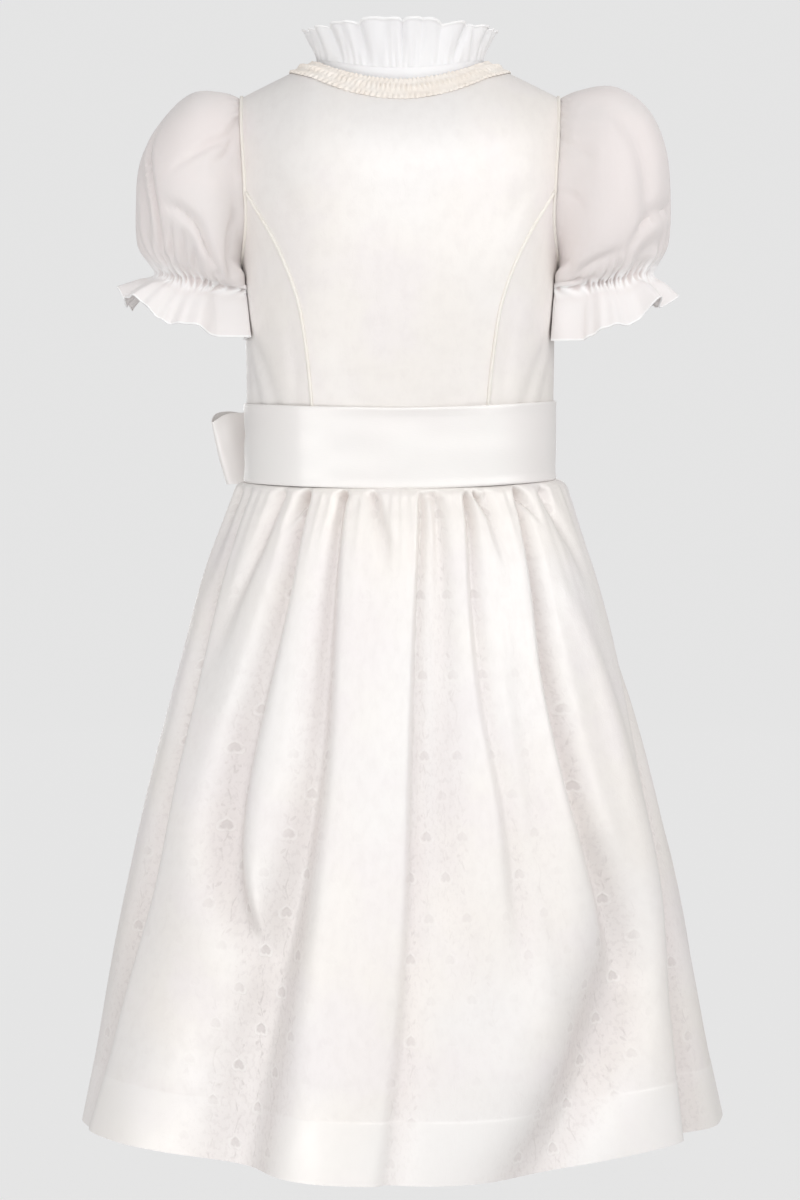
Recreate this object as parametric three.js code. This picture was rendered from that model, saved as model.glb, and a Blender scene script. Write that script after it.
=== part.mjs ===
// A girl's festive dirndl of about size 134 to 140, shown as worn: a princess-cut brocade bodice, a
// pleated brocade skirt, a satin sash with its bow at the wearer's front left, and the parts of the
// blouse that show: yoke, frilled stand collar and puff sleeves.
//
// Millimetres, +Z up. The wearer looks along -Y, so the back of the dress faces +Y and the wearer's
// left is +X. The origin is the middle of the shoulder line, where the dress hangs on its wearer.
// A "turn" is an angle about Z in degrees: 0 centre back, 90 left side, 180 centre front.
import * as THREE from "three";

// ---- Driving dimensions ----
const BROCADE = 1.6; // wall of bodice and skirt
const COTTON = 1.1; // wall of the blouse
const SATIN = 1.3; // wall of the sash
const SEAM = 0.8; // gap between two pieces at a seam
const REST = 1; // gap below a piece that lies on another

const WAIST = -306; // waist seam, under the sash
const UNDERARM = -150;
const BLADE = -88; // shoulder blades: above them the bodice turns over the shoulders
const HEM = -809;
const HEM_DEPTH = 45; // turned-up hem of the skirt

const SHOULDER_Y = 4; // the shoulder seams lie this far behind the middle
const SHOULDER_TIP = { x: 121, z: -17 };
const SHOULDER_NECK = { x: 66, z: 10 };
const TORSO_POWER = 2.3; // squareness of the torso's level sections
const YOKE_POWER = 2; // squareness of the turn over the shoulders
const SKIRT_POWER = 2.1;

// Level sections of the bodice, half-width and half-depths.
const TORSO = [
  { z: -330, side: 118, back: 83, front: 86 },
  { z: -252, side: 117.5, back: 87, front: 90 },
  { z: -180, side: 118.5, back: 95, front: 95 },
  { z: -140, side: 121.5, back: 98, front: 96 },
  { z: BLADE, side: 127, back: 97, front: 92 },
];

// The back's princess seam: where the centre panel ends at each height.
const PRINCESS = [
  { z: -330, turn: 39.5 },
  { z: -252, turn: 40.4 },
  { z: -183, turn: 42.6 },
  { z: -149, turn: 47.5 },
  { z: -120, turn: 55.5 },
  { z: BLADE, turn: 68.2 },
];

// Half of the armhole, from the shoulder tip (0) down to the underarm (180).
const ARMHOLE = [
  { round: 0, z: SHOULDER_TIP.z, back: 73.2, front: 106 },
  { round: 10, z: -17.8, back: 73.1, front: 106.1 },
  { round: 20, z: -20.6, back: 72.8, front: 106.3 },
  { round: 30, z: -25.4, back: 72.4, front: 106.6 },
  { round: 45, z: -36.5, back: 71.6, front: 107.3 },
  { round: 60, z: -48.5, back: 70.8, front: 108 },
  { round: 90, z: BLADE, back: 68.2, front: 110 },
  { round: 120, z: -118, back: 70.2, front: 108.6 },
  { round: 150, z: -141, back: 78.5, front: 101.5 },
  { round: 180, z: UNDERARM, back: 90, front: 90 },
];

// Neckline in plan, about the point (0, SHOULDER_Y).
const NECK = { side: 66, back: 54.5, front: 93.6, backPower: 2, frontPower: 2.9 };
const TRIM = 2.2; // the trim is ruched, so it stands thicker than its cloth
const TRIM_WIDTH = { back: 24, shoulder: 14, front: 17 };
const OVERLAP = 8; // the right front laps this far over the centre front
const BUTTONS = { count: 6, top: -90, bottom: -236, radius: 5, height: 3.4 };

// Sections of the skirt: the outer reach of its folds.
const SKIRT = [
  { z: WAIST, side: 117.4, back: 83.4, front: 86 },
  { z: -311.6, side: 117.4, back: 83.4, front: 86 },
  { z: -316, side: 126, back: 92, front: 94.5 },
  { z: -322, side: 130, back: 96, front: 98 },
  { z: -337, side: 136, back: 103, front: 104 },
  { z: -374, side: 150, back: 115, front: 116 },
  { z: -448, side: 171, back: 131, front: 132 },
  { z: -541, side: 195, back: 149, front: 149 },
  { z: -654, side: 220, back: 169, front: 168 },
  { z: -760, side: 240, back: 183, front: 182 },
  { z: HEM, side: 250, back: 190, front: 188 },
];

// Troughs between the skirt's folds. Each runs from one height to another; its turn and depth are
// given at four even steps on the way, and its half-width, in degrees, at its two ends.
const TROUGHS = [
  { from: WAIST, to: HEM, turn: [-9.3, -4.6, -2, 2.6], deep: [6, 5, 5, 6], wide: [2, 2.6] },
  { from: WAIST, to: -600, turn: [-17, -11, -10.5, -12], deep: [6, 7, 6, 0], wide: [3.5, 6] },
  { from: WAIST, to: -372, turn: [13, 10, 7, 5], deep: [7, 6, 3, 0], wide: [2.6, 4] },
  { from: WAIST, to: HEM, turn: [26, 24.7, 29, 41], deep: [7, 10, 12, 11], wide: [2.8, 9] },
  { from: WAIST, to: -672, turn: [41, 45.5, 43.8, 37], deep: [9, 12, 15, 0], wide: [2.6, 4.6] },
  { from: WAIST, to: -450, turn: [52, 56, 59, 61], deep: [9, 8, 4, 0], wide: [2.8, 5] },
  { from: WAIST, to: HEM, turn: [69, 68.5, 71, 78], deep: [5, 11, 15, 8], wide: [3, 4.6] },
  { from: WAIST, to: -400, turn: [78, 78, 77, 76], deep: [8, 6, 3, 0], wide: [2.6, 4] },
  { from: WAIST, to: -620, turn: [-30.7, -26, -23, -23.5], deep: [9, 7, 5, 0], wide: [2.4, 5] },
  { from: WAIST, to: -385, turn: [-38, -38, -39, -40], deep: [5, 5, 2, 0], wide: [2.4, 3] },
  { from: -380, to: -720, turn: [-36, -32, -29, -29], deep: [0, 4, 5, 0], wide: [4, 5] },
  { from: WAIST, to: -705, turn: [-51, -46, -47.5, -54], deep: [9, 12, 11, 0], wide: [2.6, 6] },
  { from: -610, to: HEM, turn: [-57, -53, -45, -33], deep: [0, 13, 15, 12], wide: [5, 7.5] },
  { from: WAIST, to: -390, turn: [-63, -66, -70, -73], deep: [8, 6, 3, 0], wide: [2.6, 4] },
  { from: -322, to: HEM, turn: [-77, -83, -81, -75], deep: [0, 9, 14, 17], wide: [3, 4.6] },
  { from: WAIST, to: HEM, turn: [88, 91, 94, 92], deep: [7, 8, 12, 15], wide: [2.8, 5] },
  { from: WAIST, to: -470, turn: [101, 103, 104, 105], deep: [9, 7, 4, 0], wide: [2.8, 5] },
  { from: WAIST, to: HEM, turn: [113, 110, 109, 113], deep: [8, 9, 11, 14], wide: [2.8, 6] },
  { from: WAIST, to: -580, turn: [124, 125, 127, 128], deep: [8, 8, 5, 0], wide: [2.8, 5] },
  { from: WAIST, to: HEM, turn: [136, 133, 131, 135], deep: [9, 9, 12, 14], wide: [2.8, 7] },
  { from: WAIST, to: -430, turn: [147, 149, 151, 152], deep: [8, 6, 3, 0], wide: [2.8, 4] },
  { from: WAIST, to: HEM, turn: [159, 155, 153, 151], deep: [8, 9, 9, 12], wide: [2.8, 6] },
  { from: WAIST, to: -700, turn: [171, 170, 168, 166], deep: [8, 7, 5, 0], wide: [2.8, 5] },
  { from: WAIST, to: HEM, turn: [183, 181, 178, 181], deep: [8, 8, 9, 13], wide: [2.8, 6] },
  { from: WAIST, to: -500, turn: [194, 195, 196, 197], deep: [8, 6, 4, 0], wide: [2.8, 5] },
  { from: WAIST, to: HEM, turn: [206, 203, 200, 203], deep: [8, 9, 11, 13], wide: [2.8, 7] },
  { from: WAIST, to: -620, turn: [217, 217, 214, 213], deep: [8, 7, 5, 0], wide: [2.8, 5] },
  { from: WAIST, to: HEM, turn: [228, 230, 229, 225], deep: [8, 9, 12, 14], wide: [2.8, 6] },
  { from: WAIST, to: -440, turn: [240, 241, 243, 244], deep: [9, 6, 3, 0], wide: [2.8, 5] },
  { from: WAIST, to: HEM, turn: [251, 251, 253, 257], deep: [8, 9, 11, 14], wide: [2.8, 6] },
  { from: WAIST, to: -600, turn: [262, 265, 266, 265], deep: [8, 8, 5, 0], wide: [2.8, 5] },
];

// Left sleeve: each ring's outer and inner point in the plane of the shoulders, and its half-depth.
// The first ring is the armhole itself. The elastic is the narrow ring; the frill hangs below it.
const SLEEVE = [
  { outX: 134, outZ: -13, inX: 127, inZ: -149.6, depth: 47 },
  { outX: 160, outZ: -13, inX: 126, inZ: -155, depth: 58 },
  { outX: 184, outZ: -30, inX: 125.4, inZ: -159, depth: 63 },
  { outX: 200, outZ: -60, inX: 124.4, inZ: -161, depth: 65 },
  { outX: 206, outZ: -96, inX: 123.4, inZ: -163, depth: 60 },
  { outX: 204, outZ: -128, inX: 122.6, inZ: -164.5, depth: 48 },
  { outX: 191, outZ: -149, inX: 122, inZ: -166, depth: 35 },
  { outX: 200, outZ: -159, inX: 121.6, inZ: -178, depth: 41 },
  { outX: 211, outZ: -168, inX: 121.4, inZ: -201, depth: 50 },
];
const ELASTIC_RING = 6;
const FRILL_WAVES = 8;
const FRILL_WAVE = 5.5; // half-height of the waves at the frill's edge
const SLEEVE_POWER = 2.2;

// Collar, in plan about (0, SHOULDER_Y): a low band, and the frill that stands on it.
const COLLAR = { side: 63, back: 51.5, front: 54, flare: 9, waves: 16, wave: 4 };
const COLLAR_TOP = {
  band: { back: 1.5, side: 11, front: 4 },
  frill: { back: 36, side: 34, front: 35 },
};

const SASH = { top: -251, bottom: -311 };
const WAIST_TILT = { left: 2.5, right: 4.5 }; // how far the waist rises at the sides
const KNOT = { turn: 131, z: -281, width: 27, height: 38, depth: 18 };
// A loop of the bow in plan, from inside the knot round its tip and back: the way along the waist,
// the way out from the body, its height, and the height of its middle above the knot's.
const LOOP = [
  { share: 0, along: 7, out: 6, tall: 17, up: 0 },
  { share: 0.12, along: 19, out: 4.4, tall: 27, up: 0 },
  { share: 0.27, along: 41, out: 2.5, tall: 48, up: -1 },
  { share: 0.4, along: 60, out: 4, tall: 58, up: -2 },
  { share: 0.5, along: 70, out: 11, tall: 60, up: -3 },
  { share: 0.6, along: 62, out: 19, tall: 59, up: -2 },
  { share: 0.73, along: 42, out: 22, tall: 50, up: -1 },
  { share: 0.88, along: 19, out: 14, tall: 28, up: 0 },
  { share: 1, along: 7, out: 11, tall: 17, up: 0 },
];
const LOOP_SLANT = 14; // the tip's lower edge falls short of its upper one
const TAIL = { top: -300.6, lying: -340, bottom: -600, width: 56 };

// ---- Curves and small helpers ----
const DEG = Math.PI / 180;
const mix = (a, b, share) => a + (b - a) * share;
const clamp = (v) => Math.min(Math.max(v, 0), 1);
const ease = (v) => clamp(v) ** 2 * (3 - 2 * clamp(v));
const evenly = (count) => Array.from({ length: count + 1 }, (_, i) => i / count);

// A smooth curve through a table's column, read by the value in another column.
function curve(rows, by, name) {
  const x = rows.map((row) => row[by]);
  const y = rows.map((row) => row[name]);
  const last = x.length - 1;
  const slope = x.map((_, i) => {
    const a = Math.max(i - 1, 0);
    const b = Math.min(i + 1, last);
    return (y[b] - y[a]) / (x[b] - x[a]);
  });
  const rising = x[last] > x[0];
  return (at) => {
    let i = 0;
    while (i < last - 1 && (rising ? at > x[i + 1] : at < x[i + 1])) i++;
    const span = x[i + 1] - x[i];
    const t = clamp((at - x[i]) / span);
    const bend = t * t * (3 - 2 * t);
    const leave = t * (1 - t) ** 2 * slope[i] * span;
    const arrive = t * t * (t - 1) * slope[i + 1] * span;
    return mix(y[i], y[i + 1], bend) + leave + arrive;
  };
}

// A smooth curve through values at even steps from 0 to 1.
function through(values) {
  return curve(
    values.map((value, i) => ({ share: i / (values.length - 1), value })),
    "share",
    "value",
  );
}

// Radius of a superellipse with half-axes `side` (X) and `depth` (Y) in the direction of a turn.
function ovalRadius(side, depth, power, turn) {
  const across = Math.abs(Math.sin(turn * DEG)) / side;
  const along = Math.abs(Math.cos(turn * DEG)) / depth;
  return (across ** power + along ** power) ** (-1 / power);
}

const polar = (radius, turn, z, midY = 0) =>
  new THREE.Vector3(radius * Math.sin(turn * DEG), midY + radius * Math.cos(turn * DEG), z);

const torsoSide = curve(TORSO, "z", "side");
const torsoBack = curve(TORSO, "z", "back");
const torsoFront = curve(TORSO, "z", "front");
const princessTurn = curve(PRINCESS, "z", "turn");
const armholeZ = curve(ARMHOLE, "round", "z");
const armholeBack = curve(ARMHOLE, "round", "back");
const armholeFront = curve(ARMHOLE, "round", "front");
const facesBack = (turn) => Math.cos(turn * DEG) >= 0;

// How far the sash and the top of the skirt rise towards the sides.
function waistTilt(turn) {
  const across = Math.sin(turn * DEG);
  return (across < 0 ? WAIST_TILT.right : WAIST_TILT.left) * across ** 2;
}

// Height of the shoulder line over a point x across.
function ridge(x) {
  const share = (Math.abs(x) - SHOULDER_NECK.x) / (SHOULDER_TIP.x - SHOULDER_NECK.x);
  return mix(SHOULDER_NECK.z, SHOULDER_TIP.z, Math.max(share, 0));
}

// How much of its depth the yoke keeps at a rise from the blades (0) to the shoulder line (1).
const yokeShare = (rise) => (rise > 0.9995 ? 0 : (1 - rise ** YOKE_POWER) ** (1 / YOKE_POWER));

// A point of the worn bodice's outer surface.
function torso(turn, z) {
  const level = Math.min(z, BLADE);
  const depth = facesBack(turn) ? torsoBack(level) : torsoFront(level);
  const point = polar(ovalRadius(torsoSide(level), depth, TORSO_POWER, turn), turn, z);
  if (z > BLADE) {
    const rise = clamp((z - BLADE) / (ridge(point.x) - BLADE));
    point.y = mix(SHOULDER_Y, point.y, yokeShare(rise));
  }
  return point;
}

// How far the section at the shoulder blades reaches, as a share of its depth, at a point x across.
const reachAt = (x) => (1 - (Math.abs(x) / torsoSide(BLADE)) ** TORSO_POWER) ** (1 / TORSO_POWER);
const bladeDepth = (y) => (y >= SHOULDER_Y ? torsoBack(BLADE) : -torsoFront(BLADE));

// The turn from the centre back, or from the centre front, to a point x across at the blades.
const turnFromBack = (x) => Math.atan2(x, torsoBack(BLADE) * reachAt(x)) / DEG;
const turnFromFront = (x) => Math.atan2(x, torsoFront(BLADE) * reachAt(x)) / DEG;

// Height of the surface over the shoulders at a point of the plan.
function yokeHeight(x, y) {
  const share = clamp((y - SHOULDER_Y) / (bladeDepth(y) * reachAt(x) - SHOULDER_Y));
  return mix(BLADE, ridge(x), (1 - share ** YOKE_POWER) ** (1 / YOKE_POWER));
}

// Height of the bodice's top edge at a turn: the neckline, then the shoulder seam.
function topEdge(turn) {
  const { x, y } = torso(turn, BLADE);
  const across = Math.abs(x) / NECK.side;
  if (across >= 1) return ridge(x);
  const [depth, power] = y > 0 ? [NECK.back, NECK.backPower] : [-NECK.front, NECK.frontPower];
  return yokeHeight(x, SHOULDER_Y + depth * (1 - across ** power) ** (1 / power));
}

// A turn of the armhole's edge at a height, on the back or the front.
function armholeTurn(z, side) {
  return z <= UNDERARM ? 90 : curve(ARMHOLE, "z", side)(z);
}

// ---- Walls of cloth ----

// A closed wall from a grid of surface points. `at` gives the surface; the wall lies `lift` outside
// it at its outer face and is `thick` through. A closed wall joins its last column to its first.
function wall({ columns, rows, at, lift = () => 0, thick, closed = false, turned = false }) {
  const step = 1e-3;
  const normalAt = (s, t) => {
    const across = at(s + step, t).sub(at(s - step, t));
    const up = at(s, t + step).sub(at(s, t - step));
    return up.cross(across).normalize().multiplyScalar(turned ? -1 : 1);
  };
  const wide = closed ? columns.length - 1 : columns.length;
  const faces = [];
  const points = [];
  for (const face of [0, 1])
    for (const t of rows)
      for (const s of columns.slice(0, wide)) {
        const away = lift(s, t) - (face ? (typeof thick === "function" ? thick(s, t) : thick) : 0);
        const point = at(s, t).addScaledVector(normalAt(s, t), away);
        points.push(point.x, point.y, point.z);
      }
  const index = (face, i, j) => face * wide * rows.length + j * wide + (i % wide);
  const quad = (a, b, c, d) => faces.push(a, b, c, a, c, d);
  for (let i = 0; i < columns.length - 1; i++) {
    for (let j = 0; j < rows.length - 1; j++) {
      quad(index(0, i, j), index(0, i, j + 1), index(0, i + 1, j + 1), index(0, i + 1, j));
      quad(index(1, i, j), index(1, i + 1, j), index(1, i + 1, j + 1), index(1, i, j + 1));
    }
    const top = rows.length - 1;
    quad(index(0, i, 0), index(0, i + 1, 0), index(1, i + 1, 0), index(1, i, 0));
    quad(index(0, i, top), index(1, i, top), index(1, i + 1, top), index(0, i + 1, top));
  }
  for (let j = 0; !closed && j < rows.length - 1; j++) {
    const end = columns.length - 1;
    quad(index(0, 0, j), index(1, 0, j), index(1, 0, j + 1), index(0, 0, j + 1));
    quad(index(0, end, j), index(0, end, j + 1), index(1, end, j + 1), index(1, end, j));
  }
  return facingOut(points, faces);
}

// An indexed geometry whose faces point out, whichever way the grid ran.
function facingOut(points, faces) {
  const corner = (i) => new THREE.Vector3().fromArray(points, faces[i] * 3);
  let volume = 0;
  for (let i = 0; i < faces.length; i += 3)
    volume += corner(i).dot(corner(i + 1).cross(corner(i + 2)));
  if (volume < 0)
    for (let i = 0; i < faces.length; i += 3)
      [faces[i + 1], faces[i + 2]] = [faces[i + 2], faces[i + 1]];
  return new THREE.BufferGeometry()
    .setAttribute("position", new THREE.Float32BufferAttribute(points, 3))
    .setIndex(faces);
}

// A round cord along a list of points.
function cordAlong(points, radius, steps) {
  const section = new THREE.Shape().absarc(0, 0, radius, 0, 2 * Math.PI);
  return new THREE.ExtrudeGeometry(section, {
    steps,
    curveSegments: 3,
    extrudePath: new THREE.CatmullRomCurve3(points),
  });
}

// ---- Finishes ----
const finish = (color, roughness) => new THREE.MeshStandardMaterial({ color, roughness, metalness: 0 });
const brocade = finish(0xf3f0ec, 0.42);
const cotton = finish(0xf0ebe9, 0.8);
const satin = finish(0xf6f3ef, 0.35);
const cream = finish(0xf5ebe0, 0.6);
const pearl = finish(0xf4f1ec, 0.3);

const dirndl = new THREE.Group();
function piece(name, geometry, material) {
  const mesh = new THREE.Mesh(geometry, material);
  mesh.name = name;
  dirndl.add(mesh);
  return mesh;
}

// ---- Bodice ----

// Heights of the panels' rows at their armhole edges, where each meets a segment of the sleeve.
const ARMHOLE_ROWS = evenly(8).map((share) => armholeZ(180 * share));
const BACK_ROWS = [WAIST, -252, -202, -162, -124, ...ARMHOLE_ROWS.slice(0, 5).reverse()];
const FRONT_ROWS = [WAIST, -245, -190, ...ARMHOLE_ROWS.slice().reverse()];
const SHOULDER_COLUMNS = [SHOULDER_NECK.x, 84, 103, SHOULDER_TIP.x]; // distances from the middle
const BACK_COLUMNS = [22, 44, 57, 63.5, ...SHOULDER_COLUMNS];
const FRONT_COLUMNS = [0, 12, 26, 44, 57, 63.5, 65.6, ...SHOULDER_COLUMNS];
const rowShares = (rows) => rows.map((z) => (z - rows[0]) / (rows[rows.length - 1] - rows[0]));
const seamTurn = (z) => (z < BLADE ? princessTurn(z) : armholeTurn(z, "back"));
const seamShare = (turn, z) => (SEAM * 0.75) / (Math.hypot(torso(turn, z).x, torso(turn, z).y) * DEG);

// Moves a point to its own side of the shoulder and side seams.
function besideSeam(point, y) {
  point.y += y;
  return point;
}

function backCentre() {
  const tip = armholeBack(0);
  const inside = (z) => seamTurn(z) - seamShare(seamTurn(z), z);
  const at = (s, t) => {
    const z = mix(WAIST + SEAM / 2, topEdge(s * inside(SHOULDER_TIP.z)), t);
    return besideSeam(torso(s * inside(z), z), 0.6 * ease(t));
  };
  const half = BACK_COLUMNS.map((x) => turnFromBack(x) / tip);
  const columns = [...half.map((share) => -share).reverse(), 0, ...half];
  return wall({ columns, rows: rowShares(BACK_ROWS), at, thick: BROCADE });
}

// The side back, between the princess seam, the armhole and the side seam. `hand` is 1 on the left.
function backSide(hand) {
  const at = (s, t) => {
    const round = 90 + 90 * clamp(s);
    const z = mix(WAIST + SEAM / 2, armholeZ(round), t);
    const from = princessTurn(armholeZ(round));
    const share = mix(s, (armholeBack(round) - from) / (90 - from), clamp(t));
    const inner = princessTurn(z) + seamShare(princessTurn(z), z);
    return besideSeam(torso(hand * mix(inner, 90, share), z), (SEAM / 2) * share);
  };
  return wall({
    columns: [0, 0.25, 0.5, 0.75, 1],
    rows: rowShares(BACK_ROWS.slice(0, 6)),
    at,
    thick: BROCADE,
    turned: hand < 0,
  });
}

// The right front laps over the left one at the button stand, and the sash clears both.
const LAP_LIFT = BROCADE + REST;
const lapLift = (x, spread = 0) => LAP_LIFT * (1 - ease((Math.abs(x) - 12 - spread) / 14));

// A front, from its free edge past the middle to the side seam, armhole and shoulder.
function front(hand) {
  const tip = 180 - armholeFront(0);
  const past = (z) => -OVERLAP / (torsoFront(Math.min(z, BLADE)) * DEG);
  const at = (s, t) => {
    const z = mix(WAIST + SEAM / 2, topEdge(180 - mix(past(BLADE), tip, s)), t);
    const outer = z <= UNDERARM ? 90 : armholeTurn(Math.min(z, SHOULDER_TIP.z), "front");
    return besideSeam(torso(hand * (180 - mix(past(z), 180 - outer, s)), z), -SEAM / 2);
  };
  const share = (x) => (turnFromFront(x) - past(BLADE)) / (tip - past(BLADE));
  return wall({
    columns: [0, ...FRONT_COLUMNS.map(share)],
    rows: rowShares(FRONT_ROWS),
    at,
    lift: (s, t) => (hand < 0 ? lapLift(at(s, t).x) : 0),
    thick: BROCADE,
    turned: hand > 0,
  });
}

piece("back_centre", backCentre(), brocade);
piece("back_side_left", backSide(1), brocade);
piece("back_side_right", backSide(-1), brocade);
piece("front_left", front(1), brocade);
piece("front_right", front(-1), brocade);

// ---- Trim and piping ----

// The neckline in plan, laid on the yoke.
function neckline(turn) {
  const [depth, power] = facesBack(turn) ? [NECK.back, NECK.backPower] : [NECK.front, NECK.frontPower];
  const point = polar(ovalRadius(NECK.side, depth, power, turn), turn, 0, SHOULDER_Y);
  point.z = yokeHeight(point.x, point.y);
  return point;
}

// A point near the yoke, moved onto it: up or down where the yoke lies flat, level where it stands.
function ontoYoke(point) {
  const rise = clamp((point.z - BLADE) / (ridge(point.x) - BLADE));
  const depth = bladeDepth(point.y) * reachAt(point.x);
  if (rise > 0.6) point.z = yokeHeight(point.x, point.y);
  else point.y = mix(SHOULDER_Y, depth, yokeShare(rise));
  return point;
}

// A point of the yoke at a distance from the neckline, away from the neck.
function besideNeck(turn, away) {
  const start = neckline(turn);
  const along = neckline(turn + 0.5).sub(neckline(turn - 0.5)).normalize();
  const down = new THREE.Vector3(start.x, start.y - SHOULDER_Y, 0).normalize().setZ(-1);
  const outward = ontoYoke(start.clone().addScaledVector(down, 0.2)).sub(start);
  outward.addScaledVector(along, -outward.dot(along)).normalize();
  return ontoYoke(start.addScaledVector(outward, away));
}

// Width of the trim: its fullness is pressed closer on the shoulders.
const trimWidth = (turn) => {
  const { back, shoulder, front: ahead } = TRIM_WIDTH;
  return mix(facesBack(turn) ? back : ahead, shoulder, Math.sin(turn * DEG) ** 2);
};

// The ruched trim, open at the centre front, where its two ends meet.
function neckTrim() {
  const at = (s, t) => {
    const turn = mix(174, -185.4, s);
    return besideNeck(turn, trimWidth(turn) * (1 - t));
  };
  const lap = (s, t) => (s > 0.5 && at(s, t).y < 0 ? lapLift(at(s, t).x) : 0);
  return wall({
    columns: evenly(40),
    rows: [0, 0.5, 1],
    at,
    lift: (s, t) => lap(s, t) + REST + 0.8 + TRIM,
    thick: TRIM,
    turned: true,
  });
}
piece("neck_trim", neckTrim(), cream);

const PIPING = 1.2;
function princessPiping(hand) {
  const points = evenly(9).map((share) => {
    const z = mix(SASH.top + 3, BLADE - 6, share);
    const point = torso(hand * princessTurn(z), z);
    return point.addScaledVector(outwardOf(hand * princessTurn(z), z), PIPING + REST);
  });
  return cordAlong(points, PIPING, 12);
}

// The outward normal of the torso's surface.
function outwardOf(turn, z) {
  const step = 0.05;
  const across = torso(turn + step, z).sub(torso(turn - step, z));
  const up = torso(turn, z + step).sub(torso(turn, z - step));
  return up.cross(across).normalize();
}

// A point of the armhole's edge; `round` runs from 0 at the shoulder down the back, 180 at the
// underarm, and up the front to 360.
function armholeRound(round) {
  const back = round <= 180;
  const along = back ? round : 360 - round;
  return { turn: back ? armholeBack(along) : armholeFront(along), z: armholeZ(along) };
}

// The cord lies on the bodice, beside its armhole edge, from the shoulder down and up again.
function armholePiping(hand) {
  const edge = (round) => {
    const { turn, z } = armholeRound(clamp(round / 360) * 360);
    return { point: torso(turn, z), normal: outwardOf(turn, z) };
  };
  const points = evenly(24).map((share) => {
    const round = mix(0.4, 359.6, share);
    const { point, normal } = edge(round);
    const along = edge(round + 2).point.sub(edge(round - 2).point).normalize();
    const aside = normal.clone().cross(along).multiplyScalar(PIPING + 1);
    point.addScaledVector(normal, PIPING + REST).add(aside);
    point.x = point.x * hand;
    return point;
  });
  return cordAlong(points, PIPING, 28);
}

for (const [side, hand] of [["left", 1], ["right", -1]]) {
  piece(`piping_back_${side}`, princessPiping(hand), cream);
  piece(`piping_armhole_${side}`, armholePiping(hand), cream);
}

// ---- Buttons of the front closing ----
function buttonGeometry() {
  const { radius, height } = BUTTONS;
  const profile = [
    [0, 0],
    [radius * 0.55, 0],
    [radius, height * 0.45],
    [radius * 0.92, height * 0.75],
    [radius * 0.5, height],
    [0, height],
  ].map(([x, y]) => new THREE.Vector2(x, y));
  return new THREE.LatheGeometry(profile, 8);
}
for (let i = 0; i < BUTTONS.count; i++) {
  const z = mix(BUTTONS.top, BUTTONS.bottom, i / (BUTTONS.count - 1));
  const button = piece(`button_${i + 1}`, buttonGeometry(), pearl);
  button.position.copy(torso(180, z)).addScaledVector(outwardOf(180, z), LAP_LIFT + REST + 0.3);
  button.quaternion.setFromUnitVectors(new THREE.Vector3(0, 1, 0), outwardOf(180, z));
}

// ---- Blouse ----

const COLLAR_POWER = 2;
function collarPlan(turn) {
  const depth = facesBack(turn) ? COLLAR.back : COLLAR.front;
  return ovalRadius(COLLAR.side, depth, COLLAR_POWER, turn);
}
const collarEdge = ({ back, side, front: ahead }, turn) =>
  mix(facesBack(turn) ? back : ahead, side, Math.abs(Math.sin(turn * DEG)) ** 2.5);

const YOKE_UNDER = BROCADE + 2.5; // the blouse lies this far below the bodice's outer face

// The yoke of the blouse goes from below the bodice's neckline up to the collar's foot.
function blouseYoke() {
  const at = (s, t) => {
    const turn = s * 360;
    if (t < 0.3) return besideNeck(turn, trimWidth(turn) * (1 - t / 0.3));
    const start = neckline(turn);
    const foot = polar(collarPlan(turn), turn, 0, SHOULDER_Y);
    const share = ((t - 0.3) / 0.7) ** 1.6;
    return ontoYoke(start.lerp(foot.setZ(yokeHeight(foot.x, foot.y)), share));
  };
  return wall({
    columns: evenly(36),
    rows: [0, 0.3, 0.5, 0.75, 1],
    at,
    lift: () => -YOKE_UNDER,
    thick: COTTON,
    closed: true,
  });
}
piece("blouse_yoke", blouseYoke(), cotton);

function collarBand() {
  const at = (s, t) => {
    const turn = s * 360;
    const point = polar(collarPlan(turn), turn, 0, SHOULDER_Y);
    const foot = yokeHeight(point.x, point.y) - YOKE_UNDER + 0.7;
    point.z = mix(foot, collarEdge(COLLAR_TOP.band, turn), t);
    return point;
  };
  return wall({ columns: evenly(36), rows: [0, 1], at, thick: COTTON, closed: true });
}
piece("collar_band", collarBand(), cotton);

// The frill stands on the band and flares; its waves grow from nothing at its foot.
function collarFrill() {
  const at = (s, t) => {
    const turn = s * 360;
    const wave = COLLAR.wave * t * Math.sin(COLLAR.waves * turn * DEG);
    const radius = collarPlan(turn) + COLLAR.flare * clamp(t) ** 1.2 + wave;
    const foot = collarEdge(COLLAR_TOP.band, turn) + REST;
    return polar(radius, turn, mix(foot, collarEdge(COLLAR_TOP.frill, turn), t), SHOULDER_Y);
  };
  return wall({ columns: evenly(64), rows: [0, 0.45, 1], at, thick: COTTON, closed: true });
}
piece("collar_frill", collarFrill(), cotton);

// A ring of the left sleeve; ring 0 is the armhole, drawn in by a seam's width.
function sleeveRing(ring, round) {
  if (ring === 0) {
    const { turn, z } = armholeRound(round);
    const height = Math.min(z, SHOULDER_TIP.z);
    const point = torso(turn, height).addScaledVector(outwardOf(turn, height - 0.5), -0.6);
    const middle = new THREE.Vector3(point.x, SHOULDER_Y, (SHOULDER_TIP.z + UNDERARM) / 2);
    return point.lerp(middle, 1.4 / point.distanceTo(middle));
  }
  const { outX, outZ, inX, inZ, depth } = SLEEVE[ring - 1];
  const radius = ovalRadius(depth, Math.hypot(outX - inX, outZ - inZ) / 2, SLEEVE_POWER, round);
  const along = (radius * Math.cos(round * DEG)) / Math.hypot(outX - inX, outZ - inZ);
  return new THREE.Vector3(
    mix(inX, outX, along + 0.5),
    SHOULDER_Y + radius * Math.sin(round * DEG),
    mix(inZ, outZ, along + 0.5),
  );
}

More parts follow.
